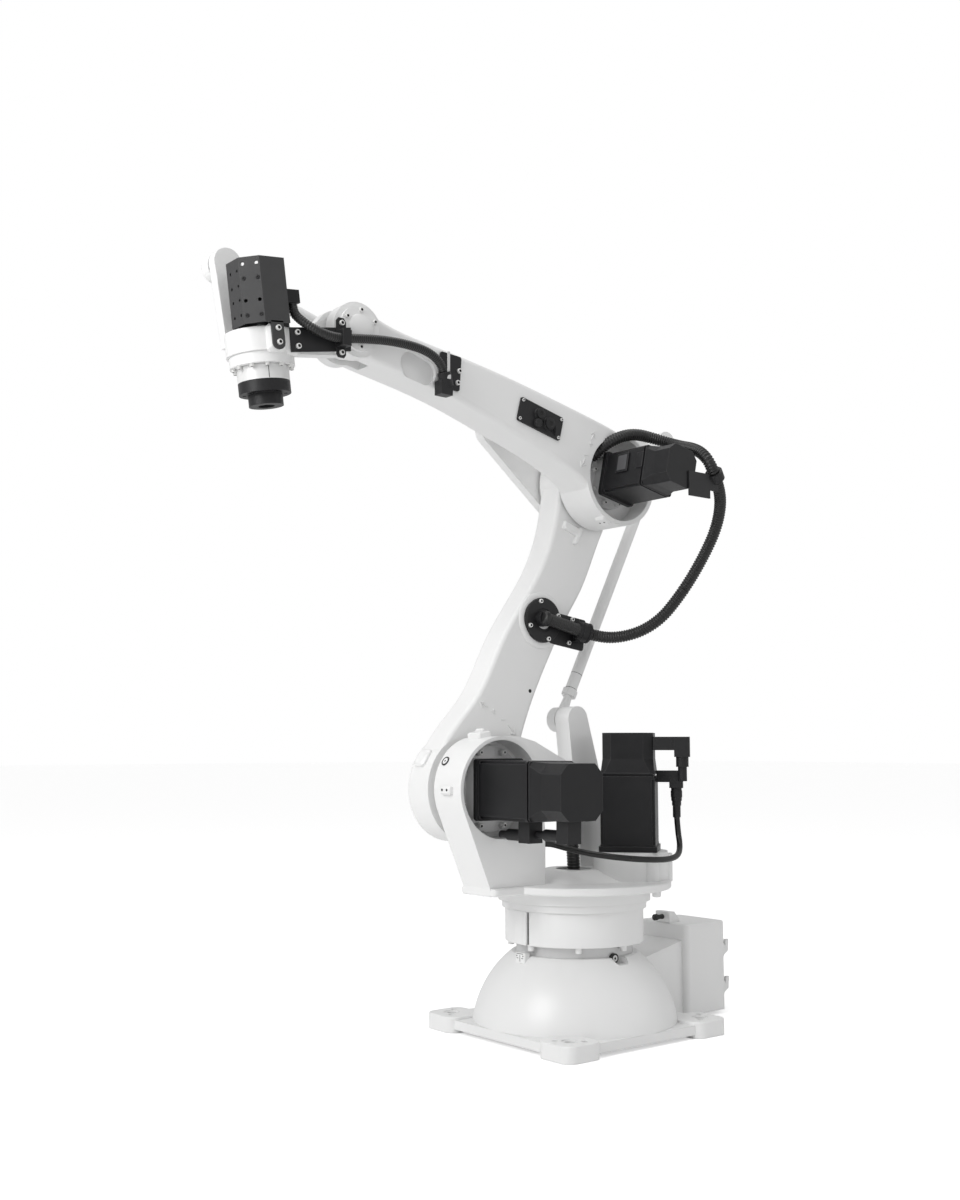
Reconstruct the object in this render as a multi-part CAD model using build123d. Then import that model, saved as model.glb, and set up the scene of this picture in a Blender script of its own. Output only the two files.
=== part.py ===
from build123d import *
import os
from math import atan2, cos, degrees, hypot, radians, sin, tan

# Four-axis palletising robot arm, all sizes in millimetres.
# +X points forward along the arm, +Y to the side that carries the motors, +Z up from the floor.
# The origin is on the floor, under the centre of the base's bolt pattern and on the first axis.

# Axes of the linkage, seen from the side (X and Z)
SHOULDER_X = 255.0
SHOULDER_Z = 539.0
LOWER_ARM_LENGTH = 804.0
LOWER_ARM_ANGLE = 117.2
UPPER_ARM_LENGTH = 773.0
UPPER_ARM_ANGLE = 16.1
REAR_LINK_LENGTH = 336.0
REAR_LINK_ANGLE = 152.9
FRONT_LINK_LENGTH = 267.0
FRONT_LINK_ANGLE = 25.2
TOOL_TILT = 7.8
TOOL_AXIS_REACH = 178.0
TOOL_FACE_DROP = 177.0

# Planes across the arm (Y)
MOTOR_FACE_Y = 55.0
EAR_BACK_Y = -37.0
LOWER_ARM_NEAR_Y = -51.0
LOWER_ARM_FAR_Y = -122.0
BEAM_NEAR_Y = 52.0
BEAM_FAR_Y = -45.0
LINK_NEAR_Y = -129.0
LINK_FAR_Y = -153.0
ROD_Y = -93.0
LEVER_NEAR_Y = -50.0
LEVER_FAR_Y = -74.0
POST_NEAR_Y = -29.0
POST_FAR_Y = -76.0

# Clearances
RUNNING_GAP = 0.05
FACE_GAP = 0.6
SIDE_GAP = 5.0

# Base casting
BOLT_SPACING = 390.0
BOLT_HOLE_R = 11.0
SPOT_FACE_R = 17.5
SPOT_FACE_DEPTH = 2.0
DOWEL_HOLE_R = 6.0
DOWEL_OFFSET = 30.0
PAD_SIZE = 100.0
PAD_OUTER = 240.0
PAD_TOP = 35.0
WEB_BOTTOM = 8.0
WEB_TOP = 28.0
WEB_SIZE = 456.0
PAD_CORNER_R = 26.0
DOME_R = 228.0
DOME_MID_R = 188.0
DOME_MID_Z = 127.0
DOME_TOP_R = 141.0
DOME_TOP_Z = 176.0
NECK_R = 130.0
NECK_TOP_Z = 200.0
JOURNAL_R = 100.0
JOURNAL_LENGTH = 30.0
BOX_REAR_X = -423.0
BOX_FRONT_X = -288.0
BOX_WIDTH = 150.0
BOX_TOP_Z = 215.0
BOX_CORNER_R = 12.0
BRIDGE_WIDTH = 118.0
BRIDGE_TOP_Z = 182.0
BRIDGE_LOW_Z = 150.0
WALL_TOP_Z = 236.0
WALL_T = 24.0
STOP_HEIGHT = 24.0
STOP_WIDTH = 44.0
BUMPER_R = 5.0
CONNECTOR_WIDTH = 92.0
CONNECTOR_LOW_Z = 22.0
CONNECTOR_HIGH_Z = 186.0
CONNECTOR_DEPTH = 34.0
LEVER_DEPTH = 36.0
LEVER_HEIGHT = 68.0
NOTCH_R = 12.0

# Turret
DRUM_R = 155.0
DRUM_TOP_Z = 274.0
RING_LOWER_R = 162.0
RING_R = 171.0
RING_STEP_Z = 290.0
PLATE_BOTTOM_Z = 316.0
PLATE_TOP_Z = 333.0
PLATE_R = 218.0
CONE_R = 128.0
CONE_TOP_R = 64.0
CONE_TOP_Z = 356.0
CABLE_HOLE_R = 40.0
CABLE_HOLE_DEPTH = 30.0
EAR_R = 112.0
EAR_BORE_R = 104.0
EAR_FLOOR_Y = 2.0
EAR_FRONT_X = 288.0
EAR_REAR_X = 134.0
POST_BOSS_R = 30.0
SEAT_R = 84.0
SEAT_TOP_Z = 396.0
SEAT_DISTANCE = 128.0
SEAT_ANGLE = 141.0
SEAT_TURN = 40.0
SEAT_LUG_R = 17.0
RIB_NEAR_Y = 5.0
RIB_LOW_Z = 510.0

# Servo motors
BIG_FRAME = 130.0
BIG_LENGTH = 264.0
SMALL_FRAME = 106.0
SMALL_LENGTH = 206.0
MOTOR_RECESS = 17.0
FLANGE_T = 12.0
MOTOR_DEPTH = 14.0
ELBOW_MOTOR_TURN = 12.0

# Lower arm
SHOULDER_HUB_R = 118.0
ELBOW_HUB_R = 102.0
GLAND_ALONG = 429.0
GLAND_R = 45.0
CLAMP_BACK = 18.0
CLAMP_FRONT = 10.0

# Elbow and upper arm
ELBOW_RING_R = 110.0
ELBOW_BORE_R = 99.0
ELBOW_FLOOR_Y = 0.0
ELBOW_AXLE_R = 40.0
CHEEK_R = 57.0
FORK_GAP = 38.0
TONGUE_T = 28.0
TONGUE_R = 48.0
WRIST_PIN_R = 20.0
COVER_R = 46.5
COVER_T = 10.0
SLOT_GAP = 14.0

# Tie rods
ROD_R = 14.0
ROD_EYE_R = 29.0
ROD_EYE_T = 26.0
ROD_PIN_R = 12.0
LEVER_TOP_R = 30.0
ROD_SHANK_R = 10.0
LINK_BOSS_R = 34.0
PIN_STAND = 6.0
LOOSE_PIN_GAP = 1.0
LOCK_NUT_R = 18.0
LOCK_NUT_T = 18.0
ROD_END_LENGTH = 80.0

# Wrist and tool flange
BODY_R = 68.0
BODY_BOTTOM = 97.0
BODY_TOP = 143.0
SCREW_RING_R = 63.5
SCREW_RING_BOTTOM = 75.0
NECK_HUB_R = 51.0
FLANGE_R = 51.0
FLANGE_TOP = 46.0
FLANGE_BOTTOM = 23.0
BOSS_R = 34.0
TOOL_BORE_R = 16.5
TOOL_BORE_DEPTH = 20.0
TOOL_PCD = 80.0
TOOL_HOLE_R = 4.25

# Conduits
LOOP_R = 14.0
SMALL_CONDUIT_R = 9.5
MOTOR_CABLE_R = 6.5
CENTRE_CABLE_R = 15.0

# Brackets, plates and covers
PLATE_T = 4.0
STRAP_GAP = 0.3
GUARD_T = 4.0
GUARD_BOTTOM = 147.0
GUARD_TOP = 274.0
GUARD_FRONT = 61.0
GUARD_SIDE = 80.0
LEG_BOTTOM = 108.0
WRIST_MOTOR_FRAME = 72.0
WRIST_MOTOR_LENGTH = 122.0
WRIST_MOTOR_X = 3.0
WRIST_MOTOR_Y = 31.0
WRIST_BRACKET_Y = 67.0
PANEL_T = 4.0
PANEL_LENGTH = 129.0
PANEL_HEIGHT = 56.0
PANEL_ALONG = 273.0
PANEL_UP = 30.0
PANEL_TURN = -2.5
POCKET_ALONG = 613.0
POCKET_UP = -8.0
POCKET_LENGTH = 92.0
POCKET_HEIGHT = 54.0
POCKET_DEPTH = 10.0
EDGE_ROUND = 10.0
BEAM_ROUND = 12.0
PLATE_ROUND = 5.0


# Routes of the conduits, point by point
LOOP_ROUTE = (
    (-62, -22, 894), (-100, -10, 884), (-145, 12, 885), (-186, 44, 900), (-221, 74, 931), (-248, 98, 975),
    (-270, 122, 1022), (-286, 150, 1076), (-294, 180, 1132), (-280, 210, 1182), (-250, 234, 1220),
    (-223, 244, 1246),
)
ARCH_ROUTE = (
    (-223, 244, 1246), (-197, 253.6, 1271), (-193, 232, 1298), (-202, 194, 1316), (-214, 154, 1328),
    (-214, 116, 1342), (-186, 88, 1356), (-138, 76, 1362), (-92, 66, 1350), (-60, 44, 1326), (-52, 16, 1304),
)
WRIST_ROUTE = (
    (789, 60, 1486), (786.7, 60, 1469), (778, 72, 1454), (765, 84, 1441), (742, 88, 1432), (716, 87, 1429),
    (690, 85, 1431),
    (642, 82, 1440), (590, 80, 1448), (540, 79.5, 1451), (492, 79, 1449), (456, 78, 1440), (432, 75, 1420),
    (424, 72, 1400),
)
MOTOR_CABLE_ROUTE = (
    (-176.2, 153.3, 473.4), (-177, 155, 440), (-170, 168, 408), (-140, 190, 389), (-96, 204, 384),
    (-50, 202, 385), (-6, 186, 388), (36, 164, 393), (68, 128, 399), (82, 92, 405), (90, 60, 411),
    (106, 37, 418), (133.6, 37, 418),
)
CENTRE_CABLE_ROUTE = ((0, 0, 327), (0, 0, 372), (-3, -9, 420), (-10, -16, 464), (-10, -16, 509.6))


def polar(start, length, angle):
    """Point at a distance and direction from another, in the side view."""
    return (start[0] + length * cos(radians(angle)), start[1] + length * sin(radians(angle)))


SHOULDER = (SHOULDER_X, SHOULDER_Z)
ELBOW = polar(SHOULDER, LOWER_ARM_LENGTH, LOWER_ARM_ANGLE)
WRIST = polar(ELBOW, UPPER_ARM_LENGTH, UPPER_ARM_ANGLE)
LOWER_ROD_FOOT = polar(SHOULDER, REAR_LINK_LENGTH, REAR_LINK_ANGLE)
LOWER_ROD_HEAD = polar(ELBOW, REAR_LINK_LENGTH, REAR_LINK_ANGLE)
UPPER_ROD_FOOT = polar(ELBOW, FRONT_LINK_LENGTH, FRONT_LINK_ANGLE)
UPPER_ROD_HEAD = polar(WRIST, FRONT_LINK_LENGTH, FRONT_LINK_ANGLE)
TOOL_FACE = (WRIST[0] + TOOL_AXIS_REACH, WRIST[1] - TOOL_FACE_DROP)
TOOL_PLANE = Plane(
    origin=(TOOL_FACE[0], 0, TOOL_FACE[1]),
    x_dir=(cos(radians(TOOL_TILT)), 0, -sin(radians(TOOL_TILT))),
    z_dir=(sin(radians(TOOL_TILT)), 0, cos(radians(TOOL_TILT))),
)


def across(profile, y_low, y_high):
    """Solid whose side-view profile runs between two planes across the arm."""
    side = Plane(origin=(0, y_high, 0), x_dir=(1, 0, 0), z_dir=(0, -1, 0))
    return extrude(side * profile, y_high - y_low, dir=(0, -1, 0))


def outline(*points):
    """Face inside straight lines through the points, its normal always up."""
    area = sum(a[0] * b[1] - b[0] * a[1] for a, b in zip(points, points[1:] + points[:1]))
    ordered = points if area > 0 else points[::-1]
    return Polygon(*ordered, align=None)


def face_up(edges):
    """Face inside a closed run of edges, its normal always up."""
    face = make_face(edges)
    return face if face.face().normal_at().Z > 0 else -face.face()


def disc_across(centre, radius, y_low, y_high):
    """Cylinder along Y about a point of the side view."""
    return across(Pos(centre[0], centre[1]) * Circle(radius), y_low, y_high)


def upright(profile, z_low, z_high):
    """Solid whose plan runs between two heights."""
    return extrude(Pos(0, 0, z_low) * profile, z_high - z_low, dir=(0, 0, 1))


def post(x, y, radius, z_low, z_high):
    """Upright cylinder."""
    return Pos(x, y, (z_low + z_high) / 2) * Cylinder(radius, z_high - z_low)


def on_tool_axis(radius, low, high):
    """Cylinder on the tool axis between two distances above the tool face."""
    return TOOL_PLANE * Pos(0, 0, (low + high) / 2) * Cylinder(radius, high - low)


def joined(first, *others):
    """One solid from several."""
    result = first
    for other in others:
        result = result + other
    return result


def in_line(start, angle, profile):
    """Profile drawn along an arm, moved to the side view."""
    return Pos(start[0], start[1]) * Rot(0, 0, angle) * profile


def base_casting():
    web = upright(RectangleRounded(WEB_SIZE, WEB_SIZE, PAD_CORNER_R), WEB_BOTTOM, WEB_TOP)
    pad_centre = PAD_OUTER - PAD_SIZE / 2
    shape = web
    corners = [(sx, sy) for sx in (-1, 1) for sy in (-1, 1)]
    for sx, sy in corners:
        plan = Pos(sx * pad_centre, sy * pad_centre) * RectangleRounded(PAD_SIZE, PAD_SIZE, PAD_CORNER_R)
        shape += upright(plan, 0, PAD_TOP)
    shape = fillet(shape.edges().group_by(Axis.Z)[-1], 3)
    with BuildLine() as section:
        Line((0, WEB_BOTTOM), (DOME_R, WEB_BOTTOM))
        Line((DOME_R, WEB_BOTTOM), (DOME_R, WEB_TOP))
        ThreePointArc((DOME_R, WEB_TOP), (DOME_MID_R, DOME_MID_Z), (DOME_TOP_R, DOME_TOP_Z))
        Line((DOME_TOP_R, DOME_TOP_Z), (0, DOME_TOP_Z))
        Line((0, DOME_TOP_Z), (0, WEB_BOTTOM))
    shape += revolve(Plane.XZ * make_face(section.line), Axis.Z)
    box_plan = Pos((BOX_REAR_X + BOX_FRONT_X) / 2, 0) * RectangleRounded(
        BOX_FRONT_X - BOX_REAR_X, BOX_WIDTH, BOX_CORNER_R)
    box = upright(box_plan, WEB_BOTTOM, BOX_TOP_Z)
    box = fillet(box.edges().group_by(Axis.Z)[-1], PLATE_ROUND)
    bridge = across(outline((BOX_FRONT_X - 20, WEB_BOTTOM), (0, WEB_BOTTOM), (0, BRIDGE_LOW_Z),
                            (-DOME_TOP_R - 20, BRIDGE_LOW_Z), (BOX_FRONT_X - 20, BRIDGE_TOP_Z)),
                    -BRIDGE_WIDTH / 2, BRIDGE_WIDTH / 2)
    shape += box + bridge
    half = BOLT_SPACING / 2
    for sx, sy in corners:
        shape -= post(sx * half, sy * half, BOLT_HOLE_R, -1, PAD_TOP + 1)
        shape -= post(sx * half, sy * half, SPOT_FACE_R, PAD_TOP - SPOT_FACE_DEPTH, PAD_TOP + 1)
        for side in (-1, 1):
            along = side * DOWEL_OFFSET * cos(radians(45))
            shape -= post(sx * (half + along), sy * (half - along), DOWEL_HOLE_R, PAD_TOP - 20, PAD_TOP + 1)
    shape -= post(0, DOME_TOP_R, NOTCH_R + 8, DOME_TOP_Z - 14, DOME_TOP_Z + 1)
    return shape - post(DOME_TOP_R + 4, 0, NOTCH_R, DOME_TOP_Z - 22, DOME_TOP_Z + 1)


def rear_connector():
    mid_z = (CONNECTOR_LOW_Z + CONNECTOR_HIGH_Z) / 2
    height = CONNECTOR_HIGH_Z - CONNECTOR_LOW_Z
    wall = Plane(origin=(BOX_REAR_X, 0, mid_z), x_dir=(0, -1, 0), z_dir=(-1, 0, 0))
    frame = extrude(wall * RectangleRounded(CONNECTOR_WIDTH, height, 8), 8)
    hood = extrude(wall * RectangleRounded(CONNECTOR_WIDTH - 20, height - 16, 6), CONNECTOR_DEPTH)
    return frame + hood


def lever_profile(low_z):
    """Hook-shaped latch, seen from the side."""
    x = BOX_REAR_X - 8
    hook = [(x, 6), (x - 14, 0), (x - 20, 14), (x - 34, 22), (x - 36, 50), (x - 26, 50), (x - 24, 34),
            (x - 16, 36), (x - 14, 66), (x - 4, 68), (x, 40)]
    return outline(*[(px, low_z + pz) for px, pz in hook])


def rear_connector_levers():
    half = CONNECTOR_WIDTH / 2
    shapes = []
    for low_z in (CONNECTOR_LOW_Z + 4, CONNECTOR_HIGH_Z - LEVER_HEIGHT - 4):
        for y_low in (-half, half - 6):
            shapes.append(across(lever_profile(low_z), y_low, y_low + 6))
    for low_z in (CONNECTOR_LOW_Z + 4, CONNECTOR_HIGH_Z - LEVER_HEIGHT - 4):
        bar_x = BOX_REAR_X - CONNECTOR_DEPTH - 5.2
        shapes.append(across(Pos(bar_x, low_z + 42) * Circle(5), -half, half))
    return joined(*shapes)


def turn_stop():
    """Stop block on the rear box, with its rubber buffer."""
    top = BOX_TOP_Z + STOP_HEIGHT
    side = outline((BOX_FRONT_X + 2, BOX_TOP_Z), (BOX_FRONT_X + 2, top), (BOX_FRONT_X - 16, top),
                   (BOX_FRONT_X - 34, BOX_TOP_Z))
    shape = across(side, -STOP_WIDTH / 2, STOP_WIDTH / 2)
    buffer = Plane(origin=(BOX_FRONT_X + 2, 0, BOX_TOP_Z + STOP_HEIGHT / 2), z_dir=(1, 0, 0))
    shape += buffer * Pos(0, 0, 10) * Cylinder(BUMPER_R, 20)
    return shape + buffer * Pos(0, 0, 24) * Cylinder(BUMPER_R + 2, 8)


def base_reducer():
    neck = post(0, 0, NECK_R, DOME_TOP_Z, NECK_TOP_Z)
    return neck + post(0, 0, JOURNAL_R, NECK_TOP_Z, NECK_TOP_Z + JOURNAL_LENGTH)


def slewing_drum():
    shape = post(0, 0, DRUM_R, NECK_TOP_Z + FACE_GAP, DRUM_TOP_Z)
    tab = Pos(DRUM_R, 0) * RectangleRounded(10, 38, 3)
    shape += upright(tab, NECK_TOP_Z + 2, DRUM_TOP_Z)
    shape -= post(0, 0, JOURNAL_R + RUNNING_GAP, NECK_TOP_Z, NECK_TOP_Z + JOURNAL_LENGTH + FACE_GAP)
    return shape


def turret_ring():
    return post(0, 0, RING_LOWER_R, DRUM_TOP_Z, RING_STEP_Z) + post(0, 0, RING_R, RING_STEP_Z, PLATE_BOTTOM_Z)


def ear_profile():
    ear = Pos(SHOULDER_X, SHOULDER_Z) * Circle(EAR_R)
    body = outline(        (EAR_REAR_X, PLATE_BOTTOM_Z), (EAR_FRONT_X, PLATE_BOTTOM_Z), (EAR_FRONT_X, PLATE_TOP_Z),
        polar(SHOULDER, EAR_R, -25), polar(SHOULDER, EAR_R, 190), (EAR_REAR_X, SHOULDER_Z - 90))
    return ear + body


def shoulder_rib_profile():
    return outline(
        polar(SHOULDER, EAR_R, 80), (168, 652), (118, 640), (40, 604), (-60, 560), (-60, RIB_LOW_Z),
        (60, RIB_LOW_Z), polar(SHOULDER, EAR_R - 10, 180), SHOULDER)


def post_profile():
    foot, top = LOWER_ROD_FOOT, polar(LOWER_ROD_FOOT, POST_BOSS_R, 0)
    body = outline(        polar(foot, POST_BOSS_R, 5), (foot[0] - 12, PLATE_BOTTOM_Z + 2), (foot[0] - 96, PLATE_BOTTOM_Z + 2),
        (foot[0] - 70, foot[1] - 130), polar(foot, POST_BOSS_R, 160))
    return Pos(foot[0], foot[1]) * Circle(POST_BOSS_R) + body


def seat_place():
    return polar((0, 0), SEAT_DISTANCE, SEAT_ANGLE)


def turret_casting():
    foot_width = MOTOR_FACE_Y - EAR_BACK_Y + 26
    foot = Pos(EAR_FRONT_X / 2, (MOTOR_FACE_Y + EAR_BACK_Y) / 2) * RectangleRounded(EAR_FRONT_X, foot_width, 14)
    shape = upright(Circle(PLATE_R) + foot, PLATE_BOTTOM_Z, PLATE_TOP_Z)
    shape = fillet(shape.edges().group_by(Axis.Z)[-1] + shape.edges().group_by(Axis.Z)[0], PLATE_ROUND)
    shape += loft(Sketch() + [Pos(0, 0, PLATE_TOP_Z) * Circle(CONE_R), Pos(0, 0, CONE_TOP_Z) * Circle(CONE_TOP_R)])
    ear = across(ear_profile(), EAR_BACK_Y, MOTOR_FACE_Y)
    shape += ear
    shape += across(shoulder_rib_profile(), EAR_BACK_Y, RIB_NEAR_Y)
    shape += across(post_profile(), POST_FAR_Y, POST_NEAR_Y)
    seat_x, seat_y = seat_place()
    shape += post(seat_x, seat_y, SEAT_R, PLATE_TOP_Z - 5, SEAT_TOP_Z)
    for step in range(3):
        lug = polar((seat_x, seat_y), SEAT_R - 6, SEAT_ANGLE - 60 + 60 * step)
        shape += post(lug[0], lug[1], SEAT_LUG_R, PLATE_TOP_Z - 5, SEAT_TOP_Z - 6)
    shape -= disc_across(SHOULDER, EAR_BORE_R, EAR_FLOOR_Y, MOTOR_FACE_Y + 1)
    shape -= post(0, 0, CABLE_HOLE_R, CONE_TOP_Z - CABLE_HOLE_DEPTH, CONE_TOP_Z + 1)
    return shape


def cut_square(size, cut):
    """Square with its corners cut off."""
    half = size / 2
    inner = half - cut
    return outline((half, -inner), (half, inner), (inner, half), (-inner, half), (-half, inner), (-half, -inner),
                   (-inner, -half), (inner, -half))


def servo_motor(frame, length):
    """Servo motor standing on its mounting face, with ribs at its corners and a narrower rear cover."""
    body_top = length * 0.66
    flange = upright(RectangleRounded(frame, frame, 8), 0, FLANGE_T)
    body = upright(RectangleRounded(frame - 8, frame - 8, 8), FLANGE_T, body_top)
    shoulder_z = body_top + (length - body_top) * 0.35
    rear = Pos(0, 0, body_top) * cut_square(frame - 10, 9)
    end = Pos(0, 0, shoulder_z) * cut_square(frame - 16, frame * 0.16)
    cap = loft(Sketch() + [rear, end]) + upright(cut_square(frame - 16, frame * 0.16), shoulder_z, length)
    motor = flange + body + cap
    motor -= Pos(0, 0, body_top - 5) * (Box(frame, frame, 5) - Box(frame - 18, frame - 18, 5))
    notch = upright(Rectangle(frame * 0.1, frame * 0.1), FLANGE_T, body_top - 14)
    for sx in (-1, 1):
        for sy in (-1, 1):
            motor -= Pos(sx * (frame / 2 - 4), sy * (frame / 2 - 4)) * notch
            motor -= post(sx * (frame / 2 - 9), sy * (frame / 2 - 9), 4.5, -1, FLANGE_T + 1)
    return motor


def place_on_y(shape, centre, y_start, turn):
    """Stand a motor on a face across the arm, pointing to +Y."""
    return Pos(centre[0], y_start, centre[1]) * Rot(-90, 0, 0) * Rot(0, 0, turn) * shape


def shoulder_motor():
    return place_on_y(servo_motor(BIG_FRAME, BIG_LENGTH), SHOULDER, MOTOR_FACE_Y - MOTOR_RECESS, 0)


def shoulder_motor_seat():
    """Reducer input housing at the bottom of the ear's bore."""
    seat_y = MOTOR_FACE_Y - MOTOR_RECESS
    seat = disc_across(SHOULDER, 92, EAR_FLOOR_Y, EAR_FLOOR_Y + 10)
    seat += across(Pos(SHOULDER_X, SHOULDER_Z) * RectangleRounded(BIG_FRAME, BIG_FRAME, 22), EAR_FLOOR_Y, seat_y)
    for step in range(8):
        place = polar(SHOULDER, 84, 22.5 + 45 * step)
        seat += disc_across(place, 7, EAR_FLOOR_Y, EAR_FLOOR_Y + 18)
    return seat


def right_angle_plug(stub, drop, stub_r, plug_r):
    """Angled motor plug: a block out along +X, then a stepped boot down from its end."""
    block = Pos(stub / 2, 0, 0) * Box(stub, 2 * stub_r, 2 * stub_r)
    corner = Pos(stub, 0, -stub_r / 2) * Box(2 * plug_r, 2 * plug_r, 3 * stub_r)
    boot = post(stub, 0, plug_r - 3, -drop * 0.62, -stub_r)
    return block + corner + boot + post(stub, 0, plug_r - 7, -drop, -drop * 0.62)


def base_motor_plugs():
    """Power and feedback plugs on the side of the base motor."""
    seat_x, seat_y = seat_place()
    side = Pos(seat_x, seat_y, 0) * Rot(0, 0, SEAT_TURN + 90)
    low = Pos(BIG_FRAME / 2 - 4, 12, SEAT_TOP_Z + 166) * right_angle_plug(44, 88, 13, 15)
    high = Pos(BIG_FRAME / 2 - 8, -24, SEAT_TOP_Z + 240) * right_angle_plug(64, 84, 15, 17)
    return side * (low + high)


def shoulder_motor_plugs():
    """Two plugs under the shoulder motor, their boots turned back to the ear."""
    under = SHOULDER_Z - BIG_FRAME / 2 + 4
    motor = shoulder_motor()
    shapes = []
    for y, x, drop in ((150, 4, 46), (262, 0, 42)):
        shapes.append(Pos(SHOULDER_X + x, y, under - drop / 2 + 2) * Box(36, 34, drop + 4))
        shapes.append(Pos(SHOULDER_X + x, y - 40, under - drop + 14) * Rot(90, 0, 0) * Cylinder(12, 56))
        shapes.append(Pos(SHOULDER_X + x, y - 78, under - drop + 14) * Rot(90, 0, 0) * Cylinder(8, 30))
    return joined(*shapes) - motor


def base_motor():
    seat_x, seat_y = seat_place()
    return Pos(seat_x, seat_y, SEAT_TOP_Z) * Rot(0, 0, SEAT_TURN) * servo_motor(BIG_FRAME, BIG_LENGTH)


def lower_arm_profile():
    front = Spline((20, -112), (90, -104), (190, -77), (330, -72), (430, -60), (530, -47), (640, -53),
                   (730, -78), (780, -96))
    rear = Spline((790, 96), (723, 88), (633, 90), (560, 90), (494, 82), (400, 75), (228, 75), (150, 84),
                  (30, 108))
    ends = [Line(front @ 1, rear @ 0), Line(rear @ 1, front @ 0)]
    body = face_up([front, rear] + ends)
    local = body + Circle(SHOULDER_HUB_R) + Pos(LOWER_ARM_LENGTH, 0) * Circle(ELBOW_HUB_R)
    return in_line(SHOULDER, LOWER_ARM_ANGLE, local)


def lower_arm_casting():
    shape = across(lower_arm_profile(), LOWER_ARM_FAR_Y, LOWER_ARM_NEAR_Y)
    rim = shape.edges().filter_by(GeomType.BSPLINE).filter_by(lambda e: e.length > 300)
    shape = fillet(rim, EDGE_ROUND)
    return shape


def elbow_axle():
    axle = disc_across(ELBOW, ELBOW_AXLE_R, LINK_FAR_Y - FACE_GAP, LOWER_ARM_FAR_Y)
    cap = disc_across(ELBOW, ELBOW_AXLE_R + 18, LINK_FAR_Y - FACE_GAP - 10, LINK_FAR_Y - FACE_GAP)
    return axle + cap


def shoulder_reducer():
    return disc_across(SHOULDER, 98, LOWER_ARM_NEAR_Y, EAR_BACK_Y - FACE_GAP)


def shoulder_hub_cover():
    return disc_across(SHOULDER, 70, LOWER_ARM_FAR_Y - 8, LOWER_ARM_FAR_Y)


def gland_place():
    return polar(SHOULDER, GLAND_ALONG, LOWER_ARM_ANGLE)


def gland_plate():
    """Cable gland on the lower arm: a round plate, its tail, and the clamp's plate beside it."""
    centre = gland_place()
    near = LOWER_ARM_NEAR_Y
    shape = disc_across(centre, GLAND_R, near, near + 10)
    start, mouth = Vector(*LOOP_ROUTE[0]), Vector(centre[0], near + 28, centre[1])
    tail = Plane(origin=mouth, z_dir=start - mouth)
    length = (start - mouth).length - CLAMP_BACK + 4
    shape += tail * Pos(0, 0, length / 2) * Cylinder(LOOP_R - 1, length)
    shape += disc_across(centre, LOOP_R + 4, near, near + 28)
    clamp = (centre[0] - GLAND_R - 44, centre[1] - 24)
    plan = Pos(clamp[0], clamp[1]) * Rot(0, 0, 8) * RectangleRounded(108, 74, 6)
    shape += across(plan, near, near + PLATE_T)
    ring = Plane(origin=start, z_dir=Vector(*LOOP_ROUTE[1]) - start)
    return shape - ring * Pos(0, 0, 30 - CLAMP_BACK - FACE_GAP) * Cylinder(LOOP_R + 8, 60)


def conduit_clamp():
    """Split clamp that holds the loop's lower end off the lower arm."""
    start = Vector(*LOOP_ROUTE[0])
    ring = Plane(origin=start, z_dir=Vector(*LOOP_ROUTE[1]) - start)
    collar = ring * Pos(0, 0, (CLAMP_FRONT - CLAMP_BACK) / 2) * Cylinder(LOOP_R + 8, CLAMP_BACK + CLAMP_FRONT)
    near = LOWER_ARM_NEAR_Y + PLATE_T
    foot = Pos(start.X + 4, (near + start.Y) / 2, start.Z) * Box(34, start.Y - near, 40)
    tail_room = ring * Pos(0, 0, -CLAMP_BACK - 20) * Cylinder(LOOP_R + 14, 40)
    return collar + (foot - tail_room) - ring * Pos(0, 0, 30) * Cylinder(LOOP_R + STRAP_GAP, 60)


def elbow_link():
    """Level link on the elbow: a triangular plate with a boss and a pin at each end."""
    plan = Pos(ELBOW[0], ELBOW[1]) * Circle(ELBOW_HUB_R - 4)
    for pin in (LOWER_ROD_HEAD, UPPER_ROD_FOOT):
        angle = degrees(atan2(pin[1] - ELBOW[1], pin[0] - ELBOW[0]))
        plan += outline(polar(ELBOW, ELBOW_HUB_R - 6, angle - 78), polar(pin, LINK_BOSS_R, angle - 82),
                        polar(pin, LINK_BOSS_R, angle + 82), polar(ELBOW, ELBOW_HUB_R - 6, angle + 78))
        plan += Pos(pin[0], pin[1]) * Circle(LINK_BOSS_R)
    shape = across(plan, LINK_FAR_Y, LINK_NEAR_Y)
    shape -= disc_across(ELBOW, ELBOW_AXLE_R + RUNNING_GAP, LINK_FAR_Y - 1, LINK_NEAR_Y + 1)
    eye_far = ROD_Y - ROD_EYE_T / 2
    pin_end = ROD_Y + ROD_EYE_T / 2 + PIN_STAND
    for pin, radius in ((LOWER_ROD_HEAD, ROD_PIN_R - LOOSE_PIN_GAP), (UPPER_ROD_FOOT, ROD_PIN_R)):
        shape += disc_across(pin, ROD_PIN_R + 10, LINK_NEAR_Y, eye_far - FACE_GAP)
        shape += disc_across(pin, radius, LINK_NEAR_Y, pin_end)
        shape += disc_across(pin, ROD_PIN_R + 5, ROD_Y + ROD_EYE_T / 2 + FACE_GAP, pin_end)
    return shape


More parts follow.
